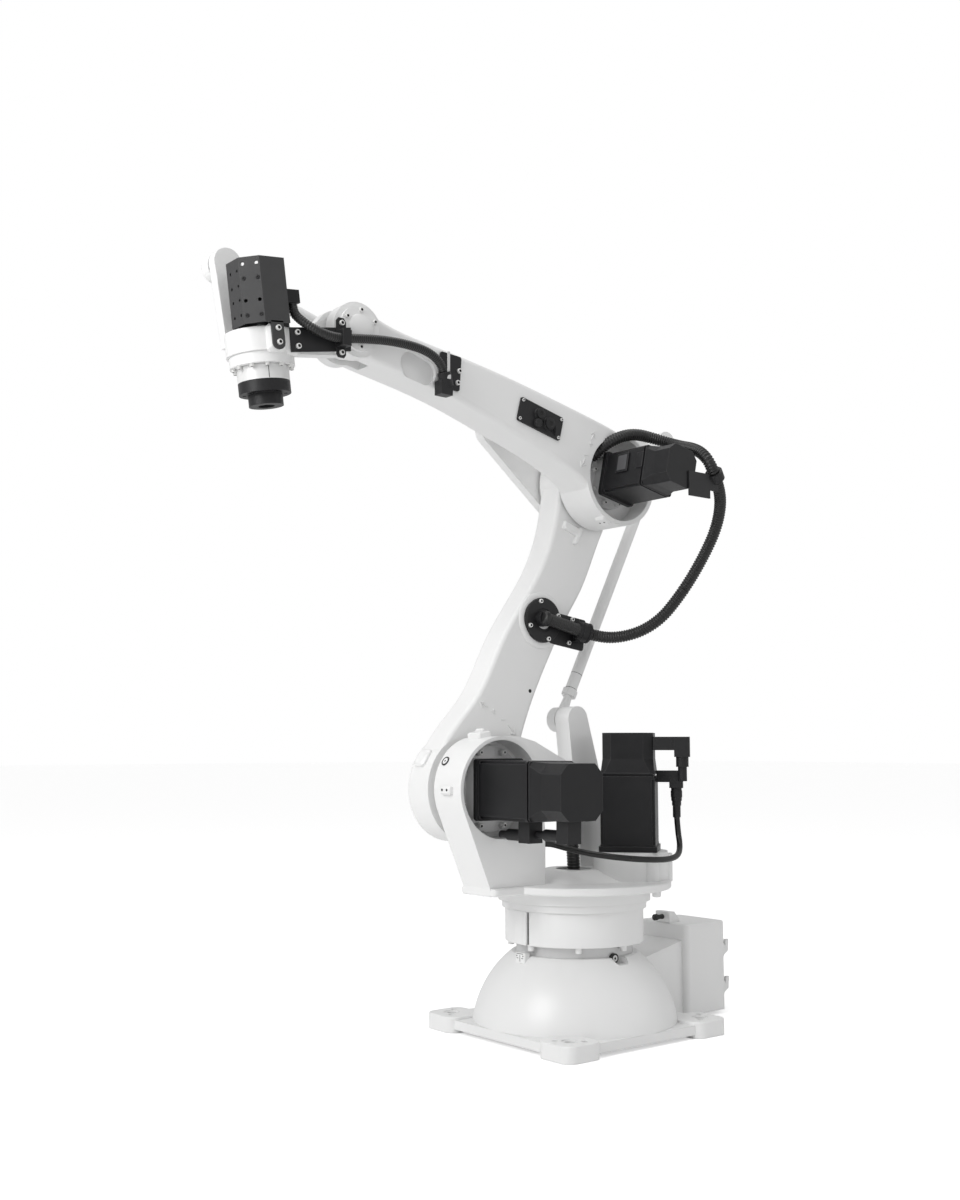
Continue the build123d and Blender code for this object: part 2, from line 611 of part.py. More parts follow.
def tie_rod(foot, head):
    """Tie rod between two pins, with a threaded eye and a lock nut at each end."""
    length = hypot(head[0] - foot[0], head[1] - foot[1])
    angle = degrees(atan2(head[1] - foot[1], head[0] - foot[0]))
    rod = Plane(origin=(foot[0], ROD_Y, foot[1]), x_dir=(0, 1, 0),
                z_dir=(cos(radians(angle)), 0, sin(radians(angle))))
    middle = rod * Pos(0, 0, length / 2)
    shape = middle * Cylinder(ROD_R, length - 2 * ROD_END_LENGTH)
    nut = extrude(RegularPolygon(LOCK_NUT_R, 6), LOCK_NUT_T)
    for pin, turn in ((foot, 0), (head, 180)):
        end = rod * Pos(0, 0, 0 if turn == 0 else length) * Rot(turn, 0, 0)
        eye = disc_across(pin, ROD_EYE_R, ROD_Y - ROD_EYE_T / 2, ROD_Y + ROD_EYE_T / 2)
        neck = end * Pos(0, 0, ROD_END_LENGTH / 2) * Cylinder(ROD_SHANK_R, ROD_END_LENGTH)
        taper = end * Pos(0, 0, ROD_EYE_R + 8) * Cone(ROD_SHANK_R + 2.5, ROD_SHANK_R, 34)
        shape += eye + neck + taper + end * Pos(0, 0, ROD_END_LENGTH - LOCK_NUT_T) * nut
    for pin in (foot, head):
        shape -= disc_across(pin, ROD_PIN_R + RUNNING_GAP, ROD_Y - ROD_EYE_T, ROD_Y + ROD_EYE_T)
    return shape


def lower_tie_rod():
    return tie_rod(LOWER_ROD_FOOT, LOWER_ROD_HEAD)


def upper_tie_rod():
    return tie_rod(UPPER_ROD_FOOT, UPPER_ROD_HEAD)


def lower_rod_pin():
    pin = disc_across(LOWER_ROD_FOOT, ROD_PIN_R, ROD_Y - ROD_EYE_T / 2 - 8, POST_FAR_Y)
    return pin + disc_across(LOWER_ROD_FOOT, 18, ROD_Y + ROD_EYE_T / 2 + FACE_GAP, POST_FAR_Y)


def beam_profile():
    top = Spline((20, 106), (70, 107), (114, 105), (250, 96), (442, 79), (600, 58), (690, 48), (752, 50))
    low = Spline((745, -47), (690, -42), (600, -33), (480, -27), (340, -30), (230, -34), (155, -43), (99, -58),
                 (45, -86), (10, -106))
    ends = [Line(top @ 1, low @ 0), Line(low @ 1, top @ 0)]
    body = face_up([top, low] + ends)
    local = body + Circle(ELBOW_RING_R) + Pos(UPPER_ARM_LENGTH, 0) * Circle(CHEEK_R)
    return in_line(ELBOW, UPPER_ARM_ANGLE, local)


def upper_arm_casting():
    shape = across(beam_profile(), BEAM_FAR_Y, BEAM_NEAR_Y)
    rim = shape.edges().filter_by(GeomType.BSPLINE).filter_by(lambda e: e.length > 300)
    shape = fillet(rim, BEAM_ROUND)
    shape -= disc_across(ELBOW, ELBOW_BORE_R, ELBOW_FLOOR_Y, BEAM_NEAR_Y + 1)
    slot_back = TONGUE_R + SLOT_GAP
    slot_length = slot_back + 2 * CHEEK_R
    slot = in_line(WRIST, UPPER_ARM_ANGLE, Pos(slot_length / 2 - slot_back, 0) * Rectangle(slot_length, 3 * CHEEK_R))
    shape -= across(slot, -FORK_GAP / 2, FORK_GAP / 2)
    shape -= disc_across(WRIST, WRIST_PIN_R, BEAM_FAR_Y - 1, BEAM_NEAR_Y + 1)
    pocket = in_line(ELBOW, UPPER_ARM_ANGLE,
                     Pos(POCKET_ALONG, POCKET_UP) * SlotOverall(POCKET_LENGTH, POCKET_HEIGHT))
    return shape - across(pocket, BEAM_NEAR_Y - POCKET_DEPTH, BEAM_NEAR_Y + 1)


def service_panel():
    """Panel with two round ports and a vent on the arm's near side."""
    place = in_line(ELBOW, UPPER_ARM_ANGLE, Pos(PANEL_ALONG, PANEL_UP) * Rot(0, 0, PANEL_TURN)
                    * RectangleRounded(PANEL_LENGTH, PANEL_HEIGHT, 5))
    panel = across(place, BEAM_NEAR_Y, BEAM_NEAR_Y + PANEL_T)
    for along, up, radius in ((-24, -2, 13), (8, 8, 11), (8, -14, 9)):
        centre = polar(polar(ELBOW, PANEL_ALONG + along, UPPER_ARM_ANGLE), PANEL_UP + up, UPPER_ARM_ANGLE + 90)
        panel += disc_across(centre, radius, BEAM_NEAR_Y, BEAM_NEAR_Y + PANEL_T + 8)
    return panel


def arm_conduit_bracket():
    """Plate and saddle on the arm's side that take the wrist conduit's end."""
    plan = in_line(ELBOW, UPPER_ARM_ANGLE, Pos(537, 20) * Rot(0, 0, -12) * RectangleRounded(56, 76, 5))
    plate = across(plan, BEAM_NEAR_Y, BEAM_NEAR_Y + PLATE_T)
    end, before = Vector(*WRIST_ROUTE[-1]), Vector(*WRIST_ROUTE[-2])
    ring = Plane(origin=end, z_dir=end - before)
    saddle_depth = end.Y - BEAM_NEAR_Y - PLATE_T + 8
    block = Pos(end.X, BEAM_NEAR_Y + PLATE_T + saddle_depth / 2, end.Z - 22) * Box(30, saddle_depth, 30)
    collar = ring * Pos(0, 0, 3) * Cylinder(SMALL_CONDUIT_R + 5, 30)
    return plate + block + collar - ring * Pos(0, 0, -20) * Cylinder(SMALL_CONDUIT_R + STRAP_GAP, 40)


def elbow_reducer():
    return disc_across(ELBOW, 94, LOWER_ARM_NEAR_Y + FACE_GAP, BEAM_FAR_Y)


def elbow_motor_seat():
    seat_y = BEAM_NEAR_Y - MOTOR_DEPTH
    seat = disc_across(ELBOW, 66, ELBOW_FLOOR_Y, ELBOW_FLOOR_Y + 12)
    square = in_line(ELBOW, ELBOW_MOTOR_TURN, RectangleRounded(SMALL_FRAME - 10, SMALL_FRAME - 10, 20))
    seat += across(square, ELBOW_FLOOR_Y, seat_y)
    for step in range(8):
        place = polar(ELBOW, 58, 22.5 + 45 * step)
        seat += disc_across(place, 6, ELBOW_FLOOR_Y, ELBOW_FLOOR_Y + 18)
    return seat


def elbow_motor():
    seat_y = BEAM_NEAR_Y - MOTOR_DEPTH
    motor = place_on_y(servo_motor(SMALL_FRAME, SMALL_LENGTH), ELBOW, seat_y, -ELBOW_MOTOR_TURN)
    plates = Pos(0, SMALL_FRAME / 2 - 4, SMALL_LENGTH * 0.3) * Box(26, 4, 34)
    plates += Pos(0, SMALL_FRAME / 2 - 4, SMALL_LENGTH * 0.55) * Box(40, 4, 22)
    return motor


def elbow_motor_bracket():
    """Strap on the motor's rear end that holds the conduit where the loop turns back."""
    motor_end = BEAM_NEAR_Y - MOTOR_DEPTH + SMALL_LENGTH
    end, before = Vector(*LOOP_ROUTE[-1]), Vector(*LOOP_ROUTE[-2])
    ring = Plane(origin=end, z_dir=end - before)
    plate_left, plate_right = -202.0, ELBOW[0] - 20
    plate = Pos((plate_left + plate_right) / 2, motor_end + PLATE_T / 2, 1218) * Box(
        plate_right - plate_left, PLATE_T, 56)
    arm = Pos(-212, motor_end + PLATE_T / 2, 1224) * Box(36, PLATE_T, 30)
    collar = ring * Cylinder(LOOP_R + 6, 22)
    return plate + arm + collar - ring * Cylinder(LOOP_R + STRAP_GAP, 60)


def wrist_pin():
    pin = disc_across(WRIST, WRIST_PIN_R, BEAM_FAR_Y, BEAM_NEAR_Y)
    cover = disc_across(WRIST, COVER_R, BEAM_NEAR_Y, BEAM_NEAR_Y + COVER_T)
    return pin + cover


def wrist_casting():
    shape = on_tool_axis(BODY_R, BODY_BOTTOM, BODY_TOP)
    centre = TOOL_PLANE.from_local_coords((0, 0, (BODY_BOTTOM + BODY_TOP) / 2))
    tongue = Pos(WRIST[0], WRIST[1]) * Circle(TONGUE_R) + outline(        polar(WRIST, TONGUE_R, 60), (centre.X - 52, centre.Z + 26), (centre.X, centre.Z + 10), (centre.X, centre.Z - 18),
        polar(WRIST, TONGUE_R, -120))
    shape += across(tongue, -TONGUE_T / 2, TONGUE_T / 2)
    shape -= disc_across(WRIST, WRIST_PIN_R + RUNNING_GAP, -TONGUE_T, TONGUE_T)
    profile = Pos(UPPER_ROD_HEAD[0], UPPER_ROD_HEAD[1]) * Circle(LEVER_TOP_R) + outline(        polar(UPPER_ROD_HEAD, LEVER_TOP_R, 0), (centre.X + 45, centre.Z), (centre.X - 55, centre.Z + 10),
        polar(UPPER_ROD_HEAD, LEVER_TOP_R, 175))
    shape += across(profile, LEVER_FAR_Y, LEVER_NEAR_Y)
    shape += disc_across(UPPER_ROD_HEAD, ROD_PIN_R - 1, ROD_Y - ROD_EYE_T / 2 - 6, LEVER_FAR_Y)
    return shape


def screw_ring():
    return on_tool_axis(SCREW_RING_R, SCREW_RING_BOTTOM, BODY_BOTTOM) - on_tool_axis(
        NECK_HUB_R - 15, SCREW_RING_BOTTOM - 1, BODY_BOTTOM + 1)


def output_hub():
    shape = on_tool_axis(NECK_HUB_R, FLANGE_TOP, SCREW_RING_BOTTOM - FACE_GAP)
    return shape + on_tool_axis(NECK_HUB_R - 15 - RUNNING_GAP, FLANGE_TOP, BODY_BOTTOM - FACE_GAP)


def tool_flange():
    shape = on_tool_axis(FLANGE_R, FLANGE_BOTTOM, FLANGE_TOP) + on_tool_axis(BOSS_R, 0, FLANGE_BOTTOM)
    shape -= on_tool_axis(TOOL_BORE_R, -1, TOOL_BORE_DEPTH)
    for step in range(6):
        hole = TOOL_PLANE * Rot(0, 0, 60 * step + 30) * Pos(TOOL_PCD / 2, 0, FLANGE_BOTTOM + 5)
        shape -= hole * Cylinder(TOOL_HOLE_R, 30)
    return shape


def wrist_motor():
    motor = Pos(WRIST_MOTOR_X, WRIST_MOTOR_Y, BODY_TOP) * servo_motor(WRIST_MOTOR_FRAME, WRIST_MOTOR_LENGTH)
    start = TOOL_PLANE.to_local_coords(Vector(*WRIST_ROUTE[0]))
    side = WRIST_MOTOR_X - WRIST_MOTOR_FRAME / 2 + 5
    plug_left, plug_low = start.X - 12, start.Z + FACE_GAP
    plug = Pos((side + plug_left) / 2, start.Y - 4, plug_low + 13) * Box(side - plug_left, 28, 26)
    return TOOL_PLANE * (motor + plug)


def guard_plan(inset):
    """Plan of the wrist motor's guard around the tool axis, moved inward by a distance."""
    front, side = GUARD_FRONT - inset, GUARD_SIDE - inset
    slope = inset * 0.42
    return outline((-60, side), (front - 30 + inset - slope, side), (front, side - 27 + slope),
                   (front, 5), (front - 30 - slope, -22 + slope), (-60, -22 + slope))


def motor_guard():
    """Bent sheet guard round the wrist motor's front, with a fixing leg at its back edge."""
    outer = extrude(guard_plan(0), GUARD_TOP - GUARD_BOTTOM)
    inner = extrude(guard_plan(GUARD_T), GUARD_TOP - GUARD_BOTTOM)
    sheet = Pos(0, 0, GUARD_BOTTOM) * (outer - inner)
    keep = Pos(38, 20, (GUARD_BOTTOM + GUARD_TOP) / 2) * Box(124, 122, GUARD_TOP - GUARD_BOTTOM + 2)
    leg = Pos(-18, GUARD_SIDE - GUARD_T / 2, (LEG_BOTTOM + GUARD_BOTTOM + 20) / 2) * Box(
        26, GUARD_T, GUARD_BOTTOM + 20 - LEG_BOTTOM)
    lug = Pos(-18, (BODY_R - 6 + GUARD_SIDE - GUARD_T) / 2, (LEG_BOTTOM + BODY_TOP) / 2) * Box(
        20, GUARD_SIDE - GUARD_T - BODY_R + 6, BODY_TOP - LEG_BOTTOM - 10)
    return TOOL_PLANE * ((sheet & keep) + leg)


def wrist_bracket():
    """Flat bracket from the wrist to the conduit's strap, standing clear of the pivot's cover."""
    plan = outline((800, 1435), (795, 1387), (659, 1414), (660, 1462))
    plate = across(plan, WRIST_BRACKET_Y, WRIST_BRACKET_Y + PLATE_T)
    held, ahead = Vector(*WRIST_ROUTE[6]), Vector(*WRIST_ROUTE[7])
    ring = Plane(origin=held, z_dir=ahead - held)
    depth = held.Y - WRIST_BRACKET_Y + 12
    strap = Pos(held.X - 4, WRIST_BRACKET_Y + depth / 2 + PLATE_T / 2, held.Z) * Box(20, depth, 32)
    lug = Pos(788, (WRIST_BRACKET_Y + BODY_R - 22) / 2, 1411) * Box(16, WRIST_BRACKET_Y - BODY_R + 22, 36)
    lug -= on_tool_axis(BODY_R, SCREW_RING_BOTTOM, BODY_TOP + 20)
    return plate + strap + lug - ring * Cylinder(SMALL_CONDUIT_R + 1, 80)


def round_path(points):
    """Straight runs joined by arcs as large as their runs allow."""
    radii = []
    for before, at, after in zip(points, points[1:], points[2:]):
        first = Vector(*at) - Vector(*before)
        second = Vector(*after) - Vector(*at)
        turn = first.get_angle(second)
        radii.append(0.45 * min(first.length, second.length) / tan(radians(turn / 2)))
    return FilletPolyline(*points, radius=radii)


def conduit(points, radius):
    path = round_path(points)
    return sweep(Plane(origin=path @ 0, z_dir=path % 0) * Circle(radius), path=path)


def middle(first, second):
    return tuple((a + b) / 2 for a, b in zip(first, second))


LOOP_SPLIT = 6


def loop_conduit_lower():
    half = LOOP_ROUTE[:LOOP_SPLIT] + (middle(LOOP_ROUTE[LOOP_SPLIT - 1], LOOP_ROUTE[LOOP_SPLIT]),)
    return conduit(half, LOOP_R)


def loop_conduit_upper():
    half = (middle(LOOP_ROUTE[LOOP_SPLIT - 1], LOOP_ROUTE[LOOP_SPLIT]),) + LOOP_ROUTE[LOOP_SPLIT:]
    return conduit(half, LOOP_R)


def arch_conduit():
    return conduit(ARCH_ROUTE, LOOP_R)


def wrist_conduit():
    return conduit(WRIST_ROUTE, SMALL_CONDUIT_R)


def motor_cable():
    return conduit(MOTOR_CABLE_ROUTE, MOTOR_CABLE_R)


def centre_cable():
    return conduit(CENTRE_CABLE_ROUTE, CENTRE_CABLE_R)


NODES = {
    "base_casting": base_casting,
    "base_reducer": base_reducer,
    "rear_connector": rear_connector,
    "rear_connector_levers": rear_connector_levers,
    "turn_stop": turn_stop,
    "slewing_drum": slewing_drum,
    "turret_ring": turret_ring,
    "turret_casting": turret_casting,
    "base_motor": base_motor,
    "base_motor_plugs": base_motor_plugs,
    "shoulder_motor_plugs": shoulder_motor_plugs,
    "motor_cable": motor_cable,
    "centre_cable": centre_cable,
    "shoulder_motor_seat": shoulder_motor_seat,
    "shoulder_motor": shoulder_motor,
    "lower_arm_casting": lower_arm_casting,
    "shoulder_reducer": shoulder_reducer,
    "shoulder_hub_cover": shoulder_hub_cover,
    "elbow_axle": elbow_axle,
    "gland_plate": gland_plate,
    "conduit_clamp": conduit_clamp,
    "loop_conduit_lower": loop_conduit_lower,
    "loop_conduit_upper": loop_conduit_upper,
    "lower_tie_rod": lower_tie_rod,
    "lower_rod_pin": lower_rod_pin,
    "elbow_link": elbow_link,
    "upper_arm_casting": upper_arm_casting,
    "elbow_reducer": elbow_reducer,
    "elbow_motor_seat": elbow_motor_seat,
    "elbow_motor": elbow_motor,
    "elbow_motor_bracket": elbow_motor_bracket,
    "arch_conduit": arch_conduit,
    "service_panel": service_panel,
    "arm_conduit_bracket": arm_conduit_bracket,
    "wrist_pin": wrist_pin,
    "upper_tie_rod": upper_tie_rod,
    "wrist_casting": wrist_casting,
    "screw_ring": screw_ring,
    "wrist_motor": wrist_motor,
    "motor_guard": motor_guard,
    "wrist_bracket": wrist_bracket,
    "wrist_conduit": wrist_conduit,
    "output_hub": output_hub,
    "tool_flange": tool_flange,
}

os.makedirs("parts", exist_ok=True)
for node, make in NODES.items():
    shape = make()
    export_step(shape, f"parts/{node}.step")
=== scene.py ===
import math

import bmesh
import bpy
from mathutils import Matrix, Vector


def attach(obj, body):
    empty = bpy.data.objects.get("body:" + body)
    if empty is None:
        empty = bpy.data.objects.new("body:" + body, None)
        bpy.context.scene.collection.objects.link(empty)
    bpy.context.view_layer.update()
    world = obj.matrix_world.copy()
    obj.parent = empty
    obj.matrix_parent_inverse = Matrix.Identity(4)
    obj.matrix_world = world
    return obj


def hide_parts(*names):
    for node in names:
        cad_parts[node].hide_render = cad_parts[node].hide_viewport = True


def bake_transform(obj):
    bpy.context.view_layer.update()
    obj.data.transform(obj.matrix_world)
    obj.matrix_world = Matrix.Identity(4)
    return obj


# Palletising robot arm, dressed from the floor up: each section is one piece or one group of like pieces.
# Places and sizes are in millimetres. They become metres when a mesh or a curve is made.

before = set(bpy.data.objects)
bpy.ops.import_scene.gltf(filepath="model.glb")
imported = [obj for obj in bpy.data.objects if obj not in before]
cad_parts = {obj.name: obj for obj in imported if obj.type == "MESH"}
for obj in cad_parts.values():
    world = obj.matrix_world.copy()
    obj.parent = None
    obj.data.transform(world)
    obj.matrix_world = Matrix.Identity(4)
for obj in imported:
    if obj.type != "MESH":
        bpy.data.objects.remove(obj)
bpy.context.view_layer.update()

# Base casting
# Heavy iron casting on four bolt pads, with a dome that carries the first axis and a box for the cables.
# It is sprayed with white satin paint, which has a fine orange peel and goes a little greyer in places.
MM = 0.001
PAINT_WHITE = (0.83, 0.83, 0.825)
PAINT_SHADED = (0.75, 0.755, 0.76)


def worked_surface():
    """Shader group: colour mottle, gloss that varies with it, grain, and a painted highlight along the edges.
    """
    group = bpy.data.node_groups.new("worked_surface", "ShaderNodeTree")
    wants = (("Colour", "Color"), ("Second colour", "Color"), ("Mottle", "Float"), ("Mottle scale", "Float"),
             ("Grain scale", "Float"), ("Grain height", "Float"), ("Roughness", "Float"),
             ("Gloss change", "Float"), ("Edge radius", "Float"), ("Edge highlight colour", "Color"),
             ("Edge highlight amount", "Float"))
    gives = (("Colour", "Color"), ("Roughness", "Float"), ("Normal", "Vector"))
    for names, way in ((wants, "INPUT"), (gives, "OUTPUT")):
        for name, kind in names:
            group.interface.new_socket(name, in_out=way, socket_type="NodeSocket" + kind)
    nodes, links = group.nodes, group.links
    take, give = nodes.new("NodeGroupInput"), nodes.new("NodeGroupOutput")
    place = nodes.new("ShaderNodeTexCoord")
    patches, grain = nodes.new("ShaderNodeTexNoise"), nodes.new("ShaderNodeTexNoise")
    patches.inputs["Detail"].default_value = 5
    grain.inputs["Detail"].default_value = 3
    for noise, scale in ((patches, "Mottle scale"), (grain, "Grain scale")):
        links.new(place.outputs["Object"], noise.inputs["Vector"])
        links.new(take.outputs[scale], noise.inputs["Scale"])
    amount = nodes.new("ShaderNodeMath")
    amount.operation = "MULTIPLY"
    links.new(patches.outputs["Fac"], amount.inputs[0])
    links.new(take.outputs["Mottle"], amount.inputs[1])
    blend = nodes.new("ShaderNodeMix")
    blend.data_type = "RGBA"
    links.new(amount.outputs[0], blend.inputs["Factor"])
    links.new(take.outputs["Colour"], blend.inputs["A"])
    links.new(take.outputs["Second colour"], blend.inputs["B"])
    about_zero = nodes.new("ShaderNodeMath")
    about_zero.operation = "SUBTRACT"
    about_zero.inputs[1].default_value = 0.5
    links.new(patches.outputs["Fac"], about_zero.inputs[0])
    gloss = nodes.new("ShaderNodeMath")
    gloss.operation = "MULTIPLY_ADD"
    links.new(about_zero.outputs[0], gloss.inputs[0])
    links.new(take.outputs["Gloss change"], gloss.inputs[1])
    links.new(take.outputs["Roughness"], gloss.inputs[2])
    links.new(gloss.outputs[0], give.inputs["Roughness"])
    edge = nodes.new("ShaderNodeBevel")
    edge.samples = 4
    links.new(take.outputs["Edge radius"], edge.inputs["Radius"])
    bump = nodes.new("ShaderNodeBump")
    bump.inputs["Distance"].default_value = 0.001
    links.new(take.outputs["Grain height"], bump.inputs["Strength"])
    links.new(grain.outputs["Fac"], bump.inputs["Height"])
    links.new(edge.outputs["Normal"], bump.inputs["Normal"])
    links.new(bump.outputs["Normal"], give.inputs["Normal"])
    # Painted highlight: near an edge, where the bevelled normal leans from the true one, the colour moves
    # towards the edge highlight colour.
    geometry = nodes.new("ShaderNodeNewGeometry")
    lean = nodes.new("ShaderNodeVectorMath")
    lean.operation = "DOT_PRODUCT"
    links.new(edge.outputs["Normal"], lean.inputs[0])
    links.new(geometry.outputs["Normal"], lean.inputs[1])
    on_edge = nodes.new("ShaderNodeMapRange")
    on_edge.inputs["From Min"].default_value = 0.995
    on_edge.inputs["From Max"].default_value = 0.85
    links.new(lean.outputs["Value"], on_edge.inputs["Value"])
    edge_highlight = nodes.new("ShaderNodeMath")
    edge_highlight.operation = "MULTIPLY"
    links.new(on_edge.outputs["Result"], edge_highlight.inputs[0])
    links.new(take.outputs["Edge highlight amount"], edge_highlight.inputs[1])
    trim = nodes.new("ShaderNodeMix")
    trim.data_type = "RGBA"
    links.new(edge_highlight.outputs[0], trim.inputs["Factor"])
    links.new(blend.outputs["Result"], trim.inputs["A"])
    links.new(take.outputs["Edge highlight colour"], trim.inputs["B"])
    links.new(trim.outputs["Result"], give.inputs["Colour"])
    return group


WORKED_SURFACE = worked_surface()


def finish(name, colour, second, mottle, mottle_scale, grain_scale, grain_height, rough, gloss_change, edge,
           metal=0.0, coat=0.0, edge_highlight_colour=(1, 1, 1), edge_highlight_amount=0.0, specular=0.5):
    """Material of one finish, from the shared surface group with its own values."""
    material = bpy.data.materials.new(name)
    material.use_nodes = True
    nodes, links = material.node_tree.nodes, material.node_tree.links
    shader = next(node for node in nodes if node.type == "BSDF_PRINCIPLED")
    group = nodes.new("ShaderNodeGroup")
    group.node_tree = WORKED_SURFACE
    values = {"Colour": (*colour, 1), "Second colour": (*second, 1), "Mottle": mottle,
              "Mottle scale": mottle_scale, "Grain scale": grain_scale, "Grain height": grain_height,
              "Roughness": rough, "Gloss change": gloss_change, "Edge radius": edge,
              "Edge highlight colour": (*edge_highlight_colour, 1), "Edge highlight amount": edge_highlight_amount}
    for key, value in values.items():
        group.inputs[key].default_value = value
    links.new(group.outputs["Colour"], shader.inputs["Base Color"])
    links.new(group.outputs["Roughness"], shader.inputs["Roughness"])
    links.new(group.outputs["Normal"], shader.inputs["Normal"])
    shader.inputs["Metallic"].default_value = metal
    shader.inputs["Coat Weight"].default_value = coat
    shader.inputs["Coat Roughness"].default_value = 0.25
    shader.inputs["Specular IOR Level"].default_value = specular
    return material


def paint(material, *nodes):
    """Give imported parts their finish."""
    for node in nodes:
        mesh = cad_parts[node].data
        mesh.materials.clear()
        mesh.materials.append(material)


white_paint = finish("white_satin_paint", PAINT_WHITE, PAINT_SHADED, 0.4, 6, 700, 0.12, 0.38, 0.12, 0.0025,
                     coat=0.2)
paint(white_paint, "base_casting")

# Rear connector, its levers and the turn stop
# Die-cast hood on the cable box, held by two sprung levers that hook over its pins, and a cast stop block
# with a black rubber buffer that ends the first axis's turn.
CAST_GREY = (0.66, 0.66, 0.66)
CAST_DARK = (0.54, 0.54, 0.54)
BUFFER_START = -286
BUFFER_Z = 227


class Piece:
    """Vertices and faces of one object, in millimetres, made of turned, bevelled and flat forms."""

    def __init__(self):
        self.verts = []
        self.faces = []
        self.dark = []

    def add(self, verts, faces, dark=()):
        start = len(self.verts)
        self.verts += [Vector(v) for v in verts]
        self.dark += [len(self.faces) + i for i in dark]
        self.faces += [[start + i for i in face] for face in faces]

    def turned(self, origin, axis, profile, segments=32, hexagons=(), dark_from=None):
        """Profile of (radius, height) pairs turned about an axis. Rings listed in hexagons are six-sided."""
        z = Vector(axis).normalized()
        x = (Vector((0, 0, 1)) if abs(z.z) < 0.9 else Vector((1, 0, 0))).cross(z).normalized()
        y = z.cross(x)
        verts, faces, dark = [], [], []
        for k, (radius, height) in enumerate(profile):
            for i in range(segments):
                turn = 2 * math.pi * i / segments
                r = radius
                if k in hexagons:
                    r = radius * math.cos(math.pi / 6) / math.cos(turn % (math.pi / 3) - math.pi / 6)
                spot = Vector(origin) + x * (r * math.cos(turn)) + y * (r * math.sin(turn))
                verts.append(spot + z * height)
        for k in range(len(profile) - 1):
            for i in range(segments):
                j = (i + 1) % segments
                if dark_from is not None and k >= dark_from:
                    dark.append(len(faces))
                low, high = k * segments, (k + 1) * segments
                faces.append([low + i, low + j, high + j, high + i])
        faces.append(list(range(segments))[::-1])
        if dark_from is not None:
            dark.append(len(faces))
        faces.append([(len(profile) - 1) * segments + i for i in range(segments)])
        self.add(verts, faces, dark)

    def cap_screw(self, origin, axis, radius, height):
        """Cap screw with a bevelled head and a hexagonal socket."""
        r, h = radius, height
        profile = [(r, 0), (r, h * 0.84), (r * 0.9, h), (r * 0.6, h), (r * 0.56, h * 0.95),
                   (r * 0.54, h * 0.3)]
        # The socket's walls and floor are listed dark and take the near-black second material: painted shade
        # in the socket.
        self.turned(origin, axis, profile, 24, (3, 4, 5), 3)

    def block(self, centre, x_axis, y_axis, size, bevel=1.2):
        """Block with all its edges bevelled, its first two sides along two axes."""
        x, y = Vector(x_axis).normalized(), Vector(y_axis).normalized()
        z = x.cross(y)
        hx, hy, hz = (side / 2 for side in size)
        cut = min(bevel, min(hx, hy, hz) * 0.6)
        verts = []
        for level, pull in ((-hz, cut), (-hz + cut, 0), (hz - cut, 0), (hz, cut)):
            a, b = hx - pull, hy - pull
            for u, v in ((a - cut, -b), (a, cut - b), (a, b - cut), (a - cut, b), (cut - a, b), (-a, b - cut),
                         (-a, cut - b), (cut - a, -b)):
                verts.append(Vector(centre) + x * u + y * v + z * level)
        faces = [[8 * k + i, 8 * k + (i + 1) % 8, 8 * k + 8 + (i + 1) % 8, 8 * k + 8 + i]
                 for k in range(3) for i in range(8)]
        self.add(verts, faces + [list(range(8))[::-1], list(range(24, 32))])

    def sheet(self, outline, y_low, y_high, bevel=0.8):
        """Flat plate across the arm, its outline in (x, z) points and its near edge bevelled."""
        n = len(outline)
        cx, cz = (sum(p[k] for p in outline) / n for k in (0, 1))
        pulled = []
        for x, z in outline:
            keep = 1 - bevel / math.hypot(x - cx, z - cz)
            pulled.append((cx + (x - cx) * keep, cz + (z - cz) * keep))
        verts = [(x, y_low, z) for x, z in outline]
        verts += [(x, y_high - bevel, z) for x, z in outline]
        verts += [(x, y_high, z) for x, z in pulled]
        faces = [[k * n + i, k * n + (i + 1) % n, k * n + n + (i + 1) % n, k * n + n + i]
                 for k in (0, 1) for i in range(n)]
        self.add(verts, faces + [list(range(n))[::-1], list(range(2 * n, 3 * n))])

    def place(self, name, body, slot, material, dark=None):
        """Make the object, in metres, with smooth faces and sharp edges, and let it ride on its body."""
        mesh = bpy.data.meshes.new(name)
        mesh.from_pydata([v * MM for v in self.verts], [], self.faces)
        mesh.materials.append(material)
        # Faces listed as dark take the second material, used for painted shade in sockets, holes and bores,
        # and for marks.
        if dark:
            mesh.materials.append(dark)
            for index in self.dark:
                mesh.polygons[index].material_index = 1
        work = bmesh.new()
        work.from_mesh(mesh)
        bmesh.ops.recalc_face_normals(work, faces=work.faces)
        work.to_mesh(mesh)
        work.free()
        mesh.shade_smooth()
        mesh.set_sharp_from_angle(angle=math.radians(30))
        piece = bpy.data.objects.new(name, mesh)
        bpy.context.scene.collection.objects.link(piece)
        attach(piece, body)
        return piece


grey_casting = finish("grey_die_casting", CAST_GREY, CAST_DARK, 0.5, 40, 900, 0.3, 0.42, 0.2, 0.0012,
                      metal=0.25)
black_rubber = finish("black_rubber", (0.02, 0.02, 0.02), (0.04, 0.04, 0.04), 0.5, 90, 1500, 0.3, 0.65, 0.2,
                      0.0006)
paint(white_paint, "rear_connector", "rear_connector_levers", "turn_stop")

lever_pins = Piece()
for z in (62, 150):
    for side in (-1, 1):
        lever_pins.turned((-447, side * 46, z), (0, side, 0), [(5, -1), (5, 1.6), (4, 2.4)])
lever_pins.place("lever_pins", "base", "white_paint", white_paint)

buffer = Piece()
buffer.turned((BUFFER_START, 0, BUFFER_Z), (1, 0, 0),
              [(6, 0), (6, 3), (5.3, 4), (5.3, 19), (7.4, 20), (7.4, 27.6), (6.2, 29.2)])
buffer.place("turn_stop_buffer", "base", "black_plastic", black_rubber)

